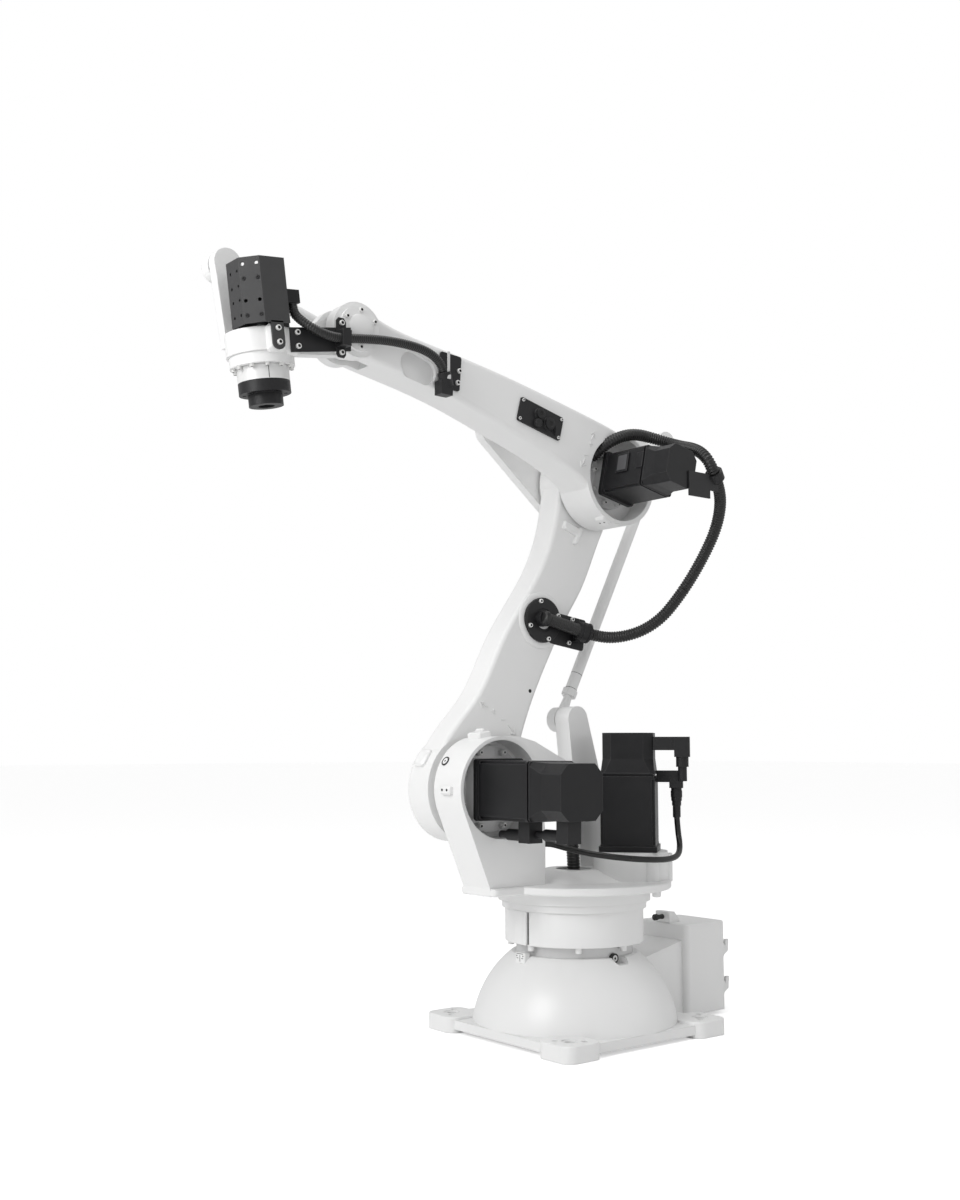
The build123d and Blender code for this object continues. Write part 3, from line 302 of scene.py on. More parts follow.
# First axis: reducer neck, drum and its screws
# The reducer stands on the dome. The drum turns round it, screwed up from below with eight painted cap
# screws, and a scribed block and a round sight give the place of zero.
DRUM_BOTTOM = 200.6
DRUM_SCREW_CIRCLE = 142
DRUM_SCREW_START = 51
SIGHT_PLACE = (7, 128, 174)
ZERO_BLOCK = (149, -4, 172)
UP = Vector((0, 0, 1))
DOWN = -UP
ACROSS = Vector((0, 1, 0))
ALONG = Vector((1, 0, 0))
# Near-black finish: painted shade in screw sockets, drilled holes, port bores and the drum's gap. It also
# colours the scribed and dotted marks and the sights' centres.
painted_shade_and_marks = finish("painted_shade_and_marks", (0.006, 0.006, 0.006), (0.012, 0.012, 0.012), 0.5, 80, 900, 0.1, 0.7,
                     0.1, 0.0002)
paint(white_paint, "slewing_drum", "turret_ring")
paint(grey_casting, "base_reducer")


def around(centre, radius, degrees):
    """Point on a circle, in the plan of an upright axis or in the side view of a level one."""
    turn = math.radians(degrees)
    return centre[0] + radius * math.cos(turn), centre[1] + radius * math.sin(turn)


drum_screws = Piece()
for k in range(8):
    x, y = around((0, 0), DRUM_SCREW_CIRCLE, DRUM_SCREW_START + 45 * k)
    drum_screws.cap_screw((x, y, DRUM_BOTTOM), DOWN, 7, 12)
drum_screws.place("drum_screws", "turret", "white_paint", white_paint, painted_shade_and_marks)

# Near-black strip beside the drum's tab: painted shadow in the gap there.
drum_gap_shadow = Piece()
drum_gap_shadow.block((154.2, 20.5, 237), ACROSS, UP, (2.4, 68, 1.6), 0.3)
drum_gap_shadow.place("drum_cover_gap_shadow", "turret", "black_steel", painted_shade_and_marks)

zero_block = Piece()
zero_block.block(ZERO_BLOCK, ACROSS, UP, (32, 24, 16), 1.5)
zero_block.place("zero_block", "base", "white_paint", white_paint)

zero_scribes = Piece()
for y, z, width, height in ((-4, 172, 1.2, 14), (-12, 172, 6, 1.2), (4, 172, 6, 1.2), (-4, 181.5, 22, 1)):
    zero_scribes.block((157.1, y, z), ACROSS, UP, (width, height, 0.5), 0.1)
for y in (-14, 6):
    zero_scribes.turned((157, y, 177), ALONG, [(1.6, 0), (1.6, 0.3)], 12)
zero_scribes.place("zero_scribes", "base", "black_steel", painted_shade_and_marks)

sight = Piece()
sight.turned(SIGHT_PLACE, ACROSS, [(10.5, -6), (10.5, 9), (9.6, 10), (7.4, 10), (7.2, 8.6)])
sight.place("base_sight_rim", "base", "black_plastic", black_rubber)
sight_glass = Piece()
x, y, z = SIGHT_PLACE
sight_glass.turned((x, y + 8.5, z), ACROSS, [(7.2, 0), (7, 0.9), (2.6, 1), (2.2, 0.7), (2.0, 0.2)], 32, (), 2)
sight_glass.place("base_sight_plug", "base", "steel", grey_casting, painted_shade_and_marks)

# Turret casting
# White casting whose ear carries the shoulder, with a post behind it for the lower tie rod. Its edge
# carries a round sight and a drilled block, its top a cast lug, and a stop pin hangs under the plate.
SHOULDER = (255.0, 539.0)
EAR_R = 112.0
paint(white_paint, "turret_casting")


def on_rim(centre, radius, degrees, y):
    """Point on a round rim across the arm, and the direction out of it."""
    x, z = around(centre, radius, degrees)
    return Vector((x, y, z)), Vector((x - centre[0], 0, z - centre[1])).normalized()


ear_sight = Piece()
spot, out = on_rim(SHOULDER, EAR_R, 32, -19)
ear_sight.turned(spot, out, [(10.5, -3), (10.5, 1.4), (9.8, 2), (7.8, 2), (7.6, 1.2)])
ear_sight.place("ear_sight_rim", "turret", "black_plastic", black_rubber)
ear_sight_plug = Piece()
ear_sight_plug.turned(spot, out, [(7.6, -1), (7.6, 1.2), (7, 1.6), (2.2, 1.6), (2, 1.2), (1.8, 0.6)],
                      32, (), 3)
ear_sight_plug.place("ear_sight_plug", "turret", "white_paint", white_paint, painted_shade_and_marks)

drilled_block = Piece()
spot, out = on_rim(SHOULDER, EAR_R, -0.5, 12)
drilled_block.block(spot + out * 3, ACROSS, out.cross(ACROSS), (34, 18, 14), 3)
drilled_block.place("drilled_block", "turret", "white_paint", white_paint)
# Near-black discs stand for the block's two drilled holes: painted shade in them.
block_holes = Piece()
for y in (4, 20):
    block_holes.turned((spot.x + 9.8, y, spot.z + 1), out, [(2.8, 0), (2.8, 0.5)], 16)
block_holes.place("drilled_block_holes", "turret", "black_steel", painted_shade_and_marks)

ear_lug = Piece()
spot, out = on_rim(SHOULDER, EAR_R, 80, 2)
tangent = out.cross(ACROSS)
ear_lug.block(spot + out * 2, ACROSS, tangent, (44, 34, 20), 3)
ear_lug.block(spot + out * 7 + tangent * 4, ACROSS, tangent, (26, 12, 22), 3)
ear_lug.place("ear_zero_lug", "turret", "white_paint", white_paint)

stop_pin = Piece()
stop_pin.turned((-92, 168, 317), DOWN, [(10, 0), (10, 14), (9, 16), (6, 17)])
stop_pin.place("turret_stop_pin", "turret", "white_paint", white_paint)

# Servo motors
# Black painted housings with a square flange, each on a light cast seat inside its bore. Bright cap screws
# hold the seats, and blackened ones hold the motors' flanges.
MOTOR_BLACK = (0.010, 0.010, 0.011)
# Lighter colour along the edges of black parts: a painted highlight.
BLACK_EDGE_HIGHLIGHT = (0.075, 0.075, 0.078)
LOWER_ARM_LENGTH = 804.0
LOWER_ARM_ANGLE = 117.2
ELBOW = around(SHOULDER, LOWER_ARM_LENGTH, LOWER_ARM_ANGLE)
BASE_MOTOR_REACH = 128.0
BASE_MOTOR_PLACE = 141.0
BASE_MOTOR_TURN = 40
BASE_MOTOR = around((0, 0), BASE_MOTOR_REACH, BASE_MOTOR_PLACE)
FLANGE_SCREW_HALF, SMALL_FLANGE_SCREW_HALF = 56, 44
SHOULDER_SEAT_Y, ELBOW_SEAT_Y = 38, 38
ELBOW_TURN = 12
# Black motor paint and blackened steel carry a painted highlight along their edges.
black_motor = finish("black_motor_paint", MOTOR_BLACK, (0.018, 0.018, 0.019), 0.6, 30, 1600, 0.22, 0.36,
                     0.16, 0.0016, edge_highlight_colour=BLACK_EDGE_HIGHLIGHT, edge_highlight_amount=0.8, specular=0.28)
black_steel = finish("blackened_steel", (0.015, 0.015, 0.016), (0.028, 0.028, 0.029), 0.5, 50, 1500, 0.18,
                     0.4, 0.16, 0.0008, metal=0.1, edge_highlight_colour=BLACK_EDGE_HIGHLIGHT, edge_highlight_amount=0.7, specular=0.32)
bright_steel = finish("bright_steel", (0.82, 0.82, 0.81), (0.70, 0.70, 0.69), 0.5, 90, 800, 0.1, 0.32, 0.15,
                      0.0005, metal=0.4)
paint(black_motor, "base_motor", "shoulder_motor", "elbow_motor", "wrist_motor")
paint(grey_casting, "shoulder_motor_seat", "elbow_motor_seat", "shoulder_reducer", "elbow_reducer")

for name, body, centre, radius, head in (("shoulder_seat_screws", "turret", SHOULDER, 84, 5),
                                         ("elbow_seat_screws", "upper_arm", ELBOW, 58, 4.6)):
    screws = Piece()
    for k in range(8):
        x, z = around(centre, radius, 22.5 + 45 * k)
        screws.cap_screw((x, (20 if body == "turret" else 18) - 0.2, z), ACROSS, head, 6)
    screws.place(name, body, "steel", bright_steel, painted_shade_and_marks)

for name, body, centre, half, turn, seat in (
        ("shoulder_motor_screws", "turret", SHOULDER, FLANGE_SCREW_HALF, 0, SHOULDER_SEAT_Y),
        ("elbow_motor_screws", "upper_arm", ELBOW, SMALL_FLANGE_SCREW_HALF, ELBOW_TURN, ELBOW_SEAT_Y)):
    screws = Piece()
    for k in range(4):
        x, z = around(centre, half * math.sqrt(2), turn + 45 + 90 * k)
        screws.cap_screw((x, seat + 11, z), ACROSS, 5.6, 6)
    screws.place(name, body, "black_steel", black_steel, painted_shade_and_marks)

screws = Piece()
for k in range(4):
    x, y = around(BASE_MOTOR, FLANGE_SCREW_HALF * math.sqrt(2), BASE_MOTOR_TURN + 45 + 90 * k)
    screws.cap_screw((x, y, 407), UP, 5.6, 6)
screws.place("base_motor_screws", "turret", "black_steel", black_steel, painted_shade_and_marks)

bore_screw = Piece()
x, z = around(ELBOW, 84, -42)
bore_screw.turned((x, -0.2, z), ACROSS, [(13, 0), (13, 6), (11, 8), (9.4, 8)])
bore_screw.cap_screw((x, 7.6, z), ACROSS, 9, 9)
bore_screw.place("elbow_bore_screw", "upper_arm", "steel", bright_steel, painted_shade_and_marks)

side_plates = Piece()
out = Vector((math.cos(math.radians(ELBOW_TURN)), 0, math.sin(math.radians(ELBOW_TURN))))
tall = out.cross(ACROSS)
tall = tall if tall.z > 0 else -tall
face = Vector((ELBOW[0], 0, ELBOW[1])) + out * 49
side_plates.block(face + ACROSS * 105 + tall * 14, ACROSS, tall, (37, 46, 9), 1.2)
side_plates.block(face + ACROSS * 160 + tall * 12, ACROSS, tall, (20, 38, 7), 1.2)
side_plates.place("elbow_motor_plates", "upper_arm", "black_motor", black_motor)
name_plate = Piece()
name_plate.block(face + ACROSS * 105 + tall * 14 + out * 4.4, ACROSS, tall, (28, 36, 0.8), 0.2)
name_plate.place("elbow_motor_bare_plate", "upper_arm", "grey_casting", finish(
    "dull_plate", (0.10, 0.10, 0.105), (0.16, 0.16, 0.165), 0.6, 60, 1200, 0.1, 0.4, 0.2, 0.0004, metal=0.6))

# Motor plugs and leads
# Moulded right-angle plugs with stepped boots. The smooth feedback lead bends down from the base motor and
# runs round the turret to the ear, and the supply conduit comes up through the hollow first axis.
# The black moulding carries a painted highlight along its edges.
black_plastic = finish("black_moulding", (0.012, 0.012, 0.013), (0.022, 0.022, 0.023), 0.5, 60, 1800, 0.2,
                       0.46, 0.15, 0.001, edge_highlight_colour=BLACK_EDGE_HIGHLIGHT, edge_highlight_amount=0.6, specular=0.32)
black_lead = finish("black_lead", (0.008, 0.008, 0.008), (0.015, 0.015, 0.015), 0.5, 120, 1500, 0.12, 0.3,
                    0.15, 0.0003)
black_conduit = finish("black_conduit", (0.007, 0.007, 0.007), (0.03, 0.03, 0.03), 0.6, 260, 1600, 0.25, 0.33,
                       0.25, 0.0003)
paint(black_plastic, "base_motor_plugs", "shoulder_motor_plugs")
MOTOR_LEAD = [(-176.2, 153.3, 473.4), (-177, 155, 440), (-170, 168, 408), (-140, 190, 389), (-96, 204, 384),
              (-50, 202, 385), (-6, 186, 388), (36, 164, 393), (68, 128, 399), (82, 92, 405), (90, 60, 411),
              (106, 37, 418), (133.6, 37, 418)]
CENTRE_CONDUIT = [(0, 0, 327), (0, 0, 372), (-3, -9, 420), (-10, -16, 464), (-10, -16, 509.6)]
RIB_SAMPLES = 6


def smooth_line(name, points):
    """Points read from the route's own smooth curve, in metres."""
    data = bpy.data.curves.new(name + "_route", "CURVE")
    data.dimensions = "3D"
    data.resolution_u = 24
    spline = data.splines.new("NURBS")
    spline.points.add(len(points) - 1)
    for point, spot in zip(spline.points, points):
        point.co = (*[v * MM for v in spot], 1)
    spline.order_u = 3
    spline.use_endpoint_u = True
    curve = bpy.data.objects.new(name + "_route", data)
    bpy.context.scene.collection.objects.link(curve)
    line = bpy.data.meshes.new_from_object(curve)
    path = [vertex.co.copy() for vertex in line.vertices]
    bpy.data.objects.remove(curve)
    bpy.data.meshes.remove(line)
    return path


def even_steps(path, step):
    """The same line with its points an even distance apart."""
    reached = [0.0]
    for a, b in zip(path, path[1:]):
        reached.append(reached[-1] + (b - a).length)
    count = max(8, round(reached[-1] / step))
    points, k = [], 0
    for i in range(count + 1):
        want = reached[-1] * i / count
        while k < len(path) - 2 and reached[k + 1] < want:
            k += 1
        run = max(reached[k + 1] - reached[k], 1e-9)
        points.append(path[k].lerp(path[k + 1], (want - reached[k]) / run))
    return points


def ribbed_tube(name, route, radius, pitch, depth, bodies, node, material, sides=28):
    """Tube along a route, with a rib every pitch. It replaces its node and rides on its body when given one;
    given two bodies, it stays fixed where it is made.
    """
    path = smooth_line(name, route)
    line = even_steps(path, pitch * MM / RIB_SAMPLES)
    verts, faces, x = [], [], None
    for i, point in enumerate(line):
        z = (line[min(i + 1, len(line) - 1)] - line[max(i - 1, 0)]).normalized()
        if x is None:
            x = (UP if abs(z.z) < 0.9 else ALONG).cross(z)
        x = (x - z * x.dot(z)).normalized()
        y = z.cross(x)
        wave = 0.5 + 0.5 * math.cos(2 * math.pi * (i % RIB_SAMPLES) / RIB_SAMPLES)
        r = (radius - depth * (1 - wave ** 0.6)) * MM
        for k in range(sides):
            turn = 2 * math.pi * k / sides
            verts.append(point + x * (r * math.cos(turn)) + y * (r * math.sin(turn)))
    for i in range(len(line) - 1):
        for k in range(sides):
            j = (k + 1) % sides
            faces.append([i * sides + k, i * sides + j, (i + 1) * sides + j, (i + 1) * sides + k])
    faces.append(list(range(sides))[::-1])
    faces.append([(len(line) - 1) * sides + k for k in range(sides)])
    mesh = bpy.data.meshes.new(name)
    mesh.from_pydata(verts, [], faces)
    mesh.shade_smooth()
    mesh.materials.append(material)
    piece = bpy.data.objects.new(name, mesh)
    bpy.context.scene.collection.objects.link(piece)
    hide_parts(node)
    if len(bodies) == 1:
        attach(piece, bodies[0])
    else:
        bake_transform(piece)
    return path


ribbed_tube("motor_lead", MOTOR_LEAD, 6.5, 12, 0, ("turret",), "motor_cable", black_lead)
ribbed_tube("centre_conduit", CENTRE_CONDUIT, 15, 6.4, 2, ("turret",), "centre_cable", black_conduit)

boots = Piece()
boots.turned((-176.2, 153.3, 470), UP,
             [(8.2, 0), (8.8, 2), (8.8, 26), (10.4, 27), (10.4, 44), (13, 45), (13, 60)])
boots.place("base_plug_boot", "turret", "black_plastic", black_plastic)

axis_gland = Piece()
axis_gland.turned((0, 0, 327), UP, [(38, 0), (38, 3), (36, 4), (21, 4), (21, 12), (19, 14), (16, 14)])
axis_gland.place("centre_gland", "turret", "black_plastic", black_plastic)

# Lower arm
# White casting from the shoulder to the elbow. It carries cast lugs for the zero marks, a stop below the
# elbow, a drilled hole and a raised double arrow with its plus and minus for the way it swings.
ARM_NEAR_Y = -51.0
ARROW_T = 2.0
paint(white_paint, "lower_arm_casting", "elbow_axle", "shoulder_hub_cover")


def on_arm(start, angle, along, up, y):
    """Point given along an arm and square to it, in the side view."""
    x, z = around(around(start, along, angle), up, angle + 90)
    return Vector((x, y, z))


def double_arrow(name, body, points, y):
    """Raised arrow with a head at each end, a plus by one end and a minus by the other."""
    piece = Piece()
    spots = [Vector((x, y, z)) for x, z in points]

    def stroke(a, b, width):
        line = b - a
        size = (line.length + width * 0.6, width, 2 * ARROW_T)
        piece.block((a + b) / 2, line, line.cross(ACROSS), size, 0.6)

    for first, second in ((spots[0], spots[1]), (spots[-1], spots[-2])):
        shaft = (second - first).normalized()
        stroke(first, second, 2.6)
        for turn in (-38, 38):
            barb = Matrix.Rotation(math.radians(turn), 3, "Y") @ shaft
            stroke(first, first + barb * 12, 2.6)
    plus, minus = spots[2], spots[-3]
    stroke(plus - UP * 5, plus + UP * 5, 2.4)
    stroke(plus - ALONG * 5, plus + ALONG * 5, 2.4)
    stroke(minus - ALONG * 5, minus + ALONG * 5, 2.4)
    piece.place(name, body, "white_paint", white_paint)


double_arrow("shoulder_arrow", "lower_arm",
             [(230, 726), (209, 716), (192, 707), (164, 689), (150, 678), (130, 656)], ARM_NEAR_Y)

# Near-black disc standing for the drilled hole: painted shade in it.
arm_hole = Piece()
arm_hole.turned((84, ARM_NEAR_Y - 0.5, 755), ACROSS, [(4.4, 0), (4.4, 0.7)], 24)
arm_hole.place("lower_arm_hole", "lower_arm", "black_steel", painted_shade_and_marks)

hub_lug = Piece()
spot, out = on_rim(SHOULDER, 118, 33, -92)
tangent = out.cross(ACROSS)
hub_lug.block(spot + out, ACROSS, tangent, (34, 42, 18), 5)
hub_lug.place("shoulder_zero_lug", "lower_arm", "white_paint", white_paint)

arm_stop = Piece()
lean = math.radians(LOWER_ARM_ANGLE)
along = Vector((math.cos(lean), 0, math.sin(lean)))
arm_stop.block((-50, ARM_NEAR_Y, 1141), ALONG + UP * 0.35, UP - ALONG * 0.35, (62, 22, 16), 4)
arm_stop.block((-66, ARM_NEAR_Y, 1126), along, along.cross(ACROSS), (46, 12, 18), 3)
arm_stop.place("elbow_stop_lug", "lower_arm", "white_paint", white_paint)

# Gland and clamp of the loop
# A black flange with four bright screws stands on a raised ring of the arm. The conduit comes out of it
# and into a split clamp on its own plate, which holds the loop off the arm.
GLAND = (50, 918.5)
CLAMP_START = Vector((-62, -22, 894))
CLAMP_NEXT = Vector((-100, -10, 884))
paint(black_plastic, "gland_plate", "conduit_clamp")

gland_ring = Piece()
gland_ring.turned((GLAND[0], ARM_NEAR_Y - 2, GLAND[1]), ACROSS,
                  [(67, 0), (66, 3), (62, 4.8), (54, 5.4), (40, 5.4)], 64)
gland_ring.place("gland_ring", "lower_arm", "white_paint", white_paint)

flange = Piece()
flange.turned((GLAND[0], ARM_NEAR_Y, GLAND[1]), ACROSS,
              [(52, 0), (52, 10), (51, 11), (27, 11), (25, 9.5)], 64)
flange.place("gland_flange", "lower_arm", "black_plastic", black_plastic)

dish = Piece()
dish.turned((GLAND[0], ARM_NEAR_Y + 9, GLAND[1]), ACROSS, [(25.6, 0), (25, 0.8), (12, 1.4), (6, 1.4)], 48)
dish.place("gland_dish", "lower_arm", "grey_casting", grey_casting)

gland_screws = Piece()
for angle in (77, 164, 253.6, 341.6):
    x, z = around(GLAND, 44.5, angle)
    gland_screws.cap_screw((x, ARM_NEAR_Y + 10.8, z), ACROSS, 5.2, 4.5)
gland_screws.cap_screw((-32.3, -47, 870), ACROSS, 5.2, 4.5)
gland_screws.cap_screw((-44, -47, 926), ACROSS, 5.2, 4.5)
gland_screws.place("gland_screws", "lower_arm", "steel", bright_steel, painted_shade_and_marks)

tail = Piece()
mouth = Vector((58.9, -23, 920.6))
axis = CLAMP_START - mouth
ribs = [(11, 0)]
for k in range(int((axis.length - 16) / 5.6)):
    ribs += [(13.2, 5.6 * k + 1), (14.3, 5.6 * k + 2), (14.3, 5.6 * k + 4), (13.2, 5.6 * k + 5)]
tail.turned(mouth, axis, ribs + [(11, ribs[-1][1] + 1)])
tail.turned(mouth - axis.normalized() * 12, axis, [(12, 0), (16, 3), (17.4, 8), (17.4, 12), (14, 14)])
tail.place("gland_tail_ribs", "lower_arm", "black_conduit", black_conduit)

collar = Piece()
axis = CLAMP_NEXT - CLAMP_START
for start, end, radius in ((-22, -14, 21), (-12, 2, 23.4), (4, 10, 24)):
    collar.turned(CLAMP_START, axis,
                  [(radius - 4, start), (radius, start + 1), (radius, end - 1), (radius - 4, end)])
collar.place("clamp_rings", "lower_arm", "black_plastic", black_plastic)

# Conduits of the elbow
# The loop swings free between the lower arm and the elbow motor, and passes from the lower arm to the level
# link and then to the upper arm. The arch goes on over the motor into the elbow's bore.
LOOP_MIDDLE = (-259, 110, 998.5)
LOOP_LOWER = [(-62, -22, 894), (-100, -10, 884), (-145, 12, 885), (-186, 44, 900), (-221, 74, 931),
              (-248, 98, 975), LOOP_MIDDLE]
LOOP_UPPER = [LOOP_MIDDLE, (-270, 122, 1022), (-286, 150, 1076), (-294, 180, 1132), (-280, 210, 1182),
              (-250, 234, 1220), (-223, 244, 1246)]
ARCH = [(-223, 244, 1246), (-197, 253.6, 1271), (-193, 232, 1298), (-202, 194, 1316), (-214, 154, 1328),
        (-214, 116, 1342), (-186, 88, 1356), (-138, 76, 1362), (-92, 66, 1350), (-60, 44, 1326),
        (-52, 16, 1304)]
paint(black_steel, "elbow_motor_bracket")
ribbed_tube("loop_conduit_low", LOOP_LOWER, 14, 6.4, 2.2, ("lower_arm", "elbow_link"), "loop_conduit_lower",
            black_conduit)
ribbed_tube("loop_conduit_high", LOOP_UPPER, 14, 6.4, 2.2, ("elbow_link", "upper_arm"), "loop_conduit_upper",
            black_conduit)
ribbed_tube("arch_conduit_ribs", ARCH, 14, 6.4, 2.2, ("upper_arm",), "arch_conduit", black_conduit)

# Tie rods and the level link
# White rods with threaded eyes and lock nuts, and a triangular plate on the elbow. Together with the arms
# they are the two parallelograms that keep the wrist's tilt. Dark lines mark the ends of the thread.
paint(white_paint, "lower_tie_rod", "upper_tie_rod", "lower_rod_pin", "elbow_link")
REAR_LINK_LENGTH = 336.0
REAR_LINK_ANGLE = 152.9
LOWER_ROD_FOOT = around(SHOULDER, REAR_LINK_LENGTH, REAR_LINK_ANGLE)
LOWER_ROD_HEAD = around(ELBOW, REAR_LINK_LENGTH, REAR_LINK_ANGLE)
ROD_Y = -93

rod_lines = Piece()
foot = Vector((LOWER_ROD_FOOT[0], ROD_Y, LOWER_ROD_FOOT[1]))
head = Vector((LOWER_ROD_HEAD[0], ROD_Y, LOWER_ROD_HEAD[1]))
for reach in (81.5, 121):
    rod_lines.turned(foot + (head - foot).normalized() * reach, head - foot,
                     [(14, 0), (14.15, 0.1), (14.15, 1), (14, 1.1)])
rod_lines.place("rod_thread_lines", "lower_rod", "black_steel", painted_shade_and_marks)

# Upper arm
# White casting from the elbow to the wrist fork, with a raised double arrow and two small screws
# underneath its fork. Its near side is smooth and painted all over.
UPPER_ARM_LENGTH = 773.0
BEAM_ANGLE = 16.1
WRIST = around(ELBOW, UPPER_ARM_LENGTH, BEAM_ANGLE)
BEAM_Y = 52.0
paint(white_paint, "upper_arm_casting")
double_arrow("elbow_arrow", "upper_arm",
             [(-27, 1353), (-18, 1336), (-15, 1324), (0, 1296), (4, 1286), (15, 1268)], BEAM_Y)

elbow_lug = Piece()
spot, out = on_rim(ELBOW, 110, -66, 36)
elbow_lug.block(spot, ACROSS, out.cross(ACROSS), (30, 30, 14), 3)
elbow_lug.place("elbow_zero_lug", "upper_arm", "white_paint", white_paint)
lug_marks = Piece()
for shift in (-7, 7):
    lug_marks.turned(spot + out * 6.8 + ACROSS * shift, out, [(2, 0), (2, 0.5)], 12)
lug_marks.place("elbow_zero_marks", "upper_arm", "black_steel", painted_shade_and_marks)

# Service panel
# Black plate with rounded corners and bright corner screws. It carries two air ports and a ribbed blank.
PANEL_ALONG, PANEL_UP, PANEL_TURN = 273.0, 30.0, -2.5
paint(black_plastic, "service_panel")


def on_panel(u, v, y):
    turn = math.radians(PANEL_TURN)
    along = PANEL_ALONG + u * math.cos(turn) - v * math.sin(turn)
    up = PANEL_UP + u * math.sin(turn) + v * math.cos(turn)
    return on_arm(ELBOW, BEAM_ANGLE, along, up, y)


panel_screws = Piece()
for u in (-58.5, 58.5):
    for v in (-22, 22):
        panel_screws.cap_screw(on_panel(u, v, BEAM_Y + 3.8), ACROSS, 3.6, 3)
panel_screws.place("panel_screws", "upper_arm", "steel", bright_steel, painted_shade_and_marks)

# The ports' bores take the near-black second material: painted shade inside them.
ports = Piece()
for u, v, radius in ((8, 8, 11), (-24, -2, 13)):
    spot = on_arm(ELBOW, BEAM_ANGLE, PANEL_ALONG + u, PANEL_UP + v, BEAM_Y + 4)
    ports.turned(spot, ACROSS, [(radius + 3, 0), (radius + 3, 2.5), (radius + 0.4, 3.5), (radius + 0.4, 8.6),
                                (radius - 1, 9.4), (radius * 0.5, 9.4), (radius * 0.44, 8.4)], 32, (1, 2), 5)
blank = on_arm(ELBOW, BEAM_ANGLE, PANEL_ALONG + 8, PANEL_UP - 14, BEAM_Y + 4)
ports.turned(blank, ACROSS, [(10.4, 0), (9.4, 7.4), (8.6, 8.6)], 32)
ports.place("panel_ports", "upper_arm", "black_plastic", black_plastic, painted_shade_and_marks)

panel_vent = Piece()
for k in range(4):
    panel_vent.block(on_panel(-46 + 5 * k, -9, BEAM_Y + 4.6), ACROSS, UP, (3.4, 26 - 5 * k, 2), 0.5)
panel_vent.place("panel_vent_ribs", "upper_arm", "black_plastic", black_plastic)

# Wrist conduit and its brackets
# A thinner conduit comes from the wrist motor, is strapped to a flat bracket that rides on the wrist, and
# ends in a saddle on the arm, held by a bright band.
WRIST_CONDUIT = [(789, 60, 1486), (786.7, 60, 1469), (778, 72, 1454), (765, 84, 1441), (742, 88, 1432),
                 (716, 87, 1429), (690, 85, 1431), (642, 82, 1440), (590, 80, 1448), (540, 79.5, 1451),
                 (492, 79, 1449), (456, 78, 1440), (432, 75, 1420), (424, 72, 1400)]
paint(black_steel, "arm_conduit_bracket", "wrist_bracket", "motor_guard")
ribbed_tube("wrist_conduit_ribs", WRIST_CONDUIT, 9.5, 4.8, 1.5, ("wrist", "upper_arm"), "wrist_conduit",
            black_conduit)

arm_bracket_screws = Piece()
for along, up in ((515.5, 31), (512.6, 4.4)):
    arm_bracket_screws.cap_screw(on_arm(ELBOW, BEAM_ANGLE, along, up, BEAM_Y + 3.8), ACROSS, 5.6, 5)
arm_bracket_screws.place("arm_bracket_screws", "upper_arm", "steel", bright_steel, painted_shade_and_marks)

band = Piece()
band.block((422.5, 82.6, 1430), UP, ACROSS, (50, 2.4, 7), 0.8)
band.block((423.5, 84, 1400), UP, ACROSS, (10, 6, 9), 1)
band.place("arm_bracket_band", "upper_arm", "steel", grey_casting)

strap = Piece()
strap.sheet([(672, 1402), (676, 1396), (690, 1396), (694, 1402), (696, 1470), (691, 1477), (678, 1477),
             (673, 1470)], 70.8, 73.4)
strap.place("wrist_strap", "wrist", "black_steel", black_steel)

bracket_screws = Piece()
for x, z, y in ((784, 1428, 70.8), (781, 1401, 70.8), (684, 1466, 73.2), (683, 1406, 73.2)):
    bracket_screws.cap_screw((x, y, z), ACROSS, 5.6, 5)
bracket_screws.place("wrist_bracket_screws", "wrist", "steel", bright_steel, painted_shade_and_marks)

# Wrist
# White casting in the arm's fork, with its pivot's cover, its gearbox ring and twelve bright screws that
# hold the ring from below. The guard's leg and the bracket stand on cast pads.
paint(white_paint, "wrist_pin", "wrist_casting", "screw_ring")
TILT = math.radians(7.8)
TOOL = Vector((WRIST[0] + 178.0, 0, WRIST[1] - 177.0))
TOOL_UP = Vector((math.sin(TILT), 0, math.cos(TILT)))
TOOL_ALONG = Vector((math.cos(TILT), 0, -math.sin(TILT)))


def at_tool(x, y, height):
    """Point given from the middle of the tool face, along the tool's own axes."""
    return TOOL + TOOL_ALONG * x + ACROSS * y + TOOL_UP * height


cover = Piece()
cover.turned((WRIST[0], BEAM_Y + 9.5, WRIST[1]), ACROSS, [(30, 0), (30, 1.8), (28, 3), (8, 3.4)], 48)
cover.place("wrist_cover_boss", "upper_arm", "white_paint", white_paint)

cover_screws = Piece()
for k in range(6):
    x, z = around(WRIST, 38.5, 30 + 60 * k)
    cover_screws.cap_screw((x, BEAM_Y + 9.8, z), ACROSS, 5, 4.4)
cover_screws.place("wrist_cover_screws", "upper_arm", "steel", bright_steel, painted_shade_and_marks)

pads = Piece()
pads.block(at_tool(5, 66, 119), TOOL_UP, TOOL_ALONG, (54, 38, 19.6), 5)
pads.block((788, 58, 1412), UP, ALONG, (54, 34, 17.6), 5)
pads.place("wrist_cast_pads", "wrist", "white_paint", white_paint)

ring_screws = Piece()
for k in range(12):
    x, y = around((0, 0), 57.3, 9 + 30 * k)
    ring_screws.cap_screw(at_tool(x, y, 75.2), -TOOL_UP, 4.4, 6)
ring_screws.place("ring_screws", "wrist", "steel", bright_steel, painted_shade_and_marks)

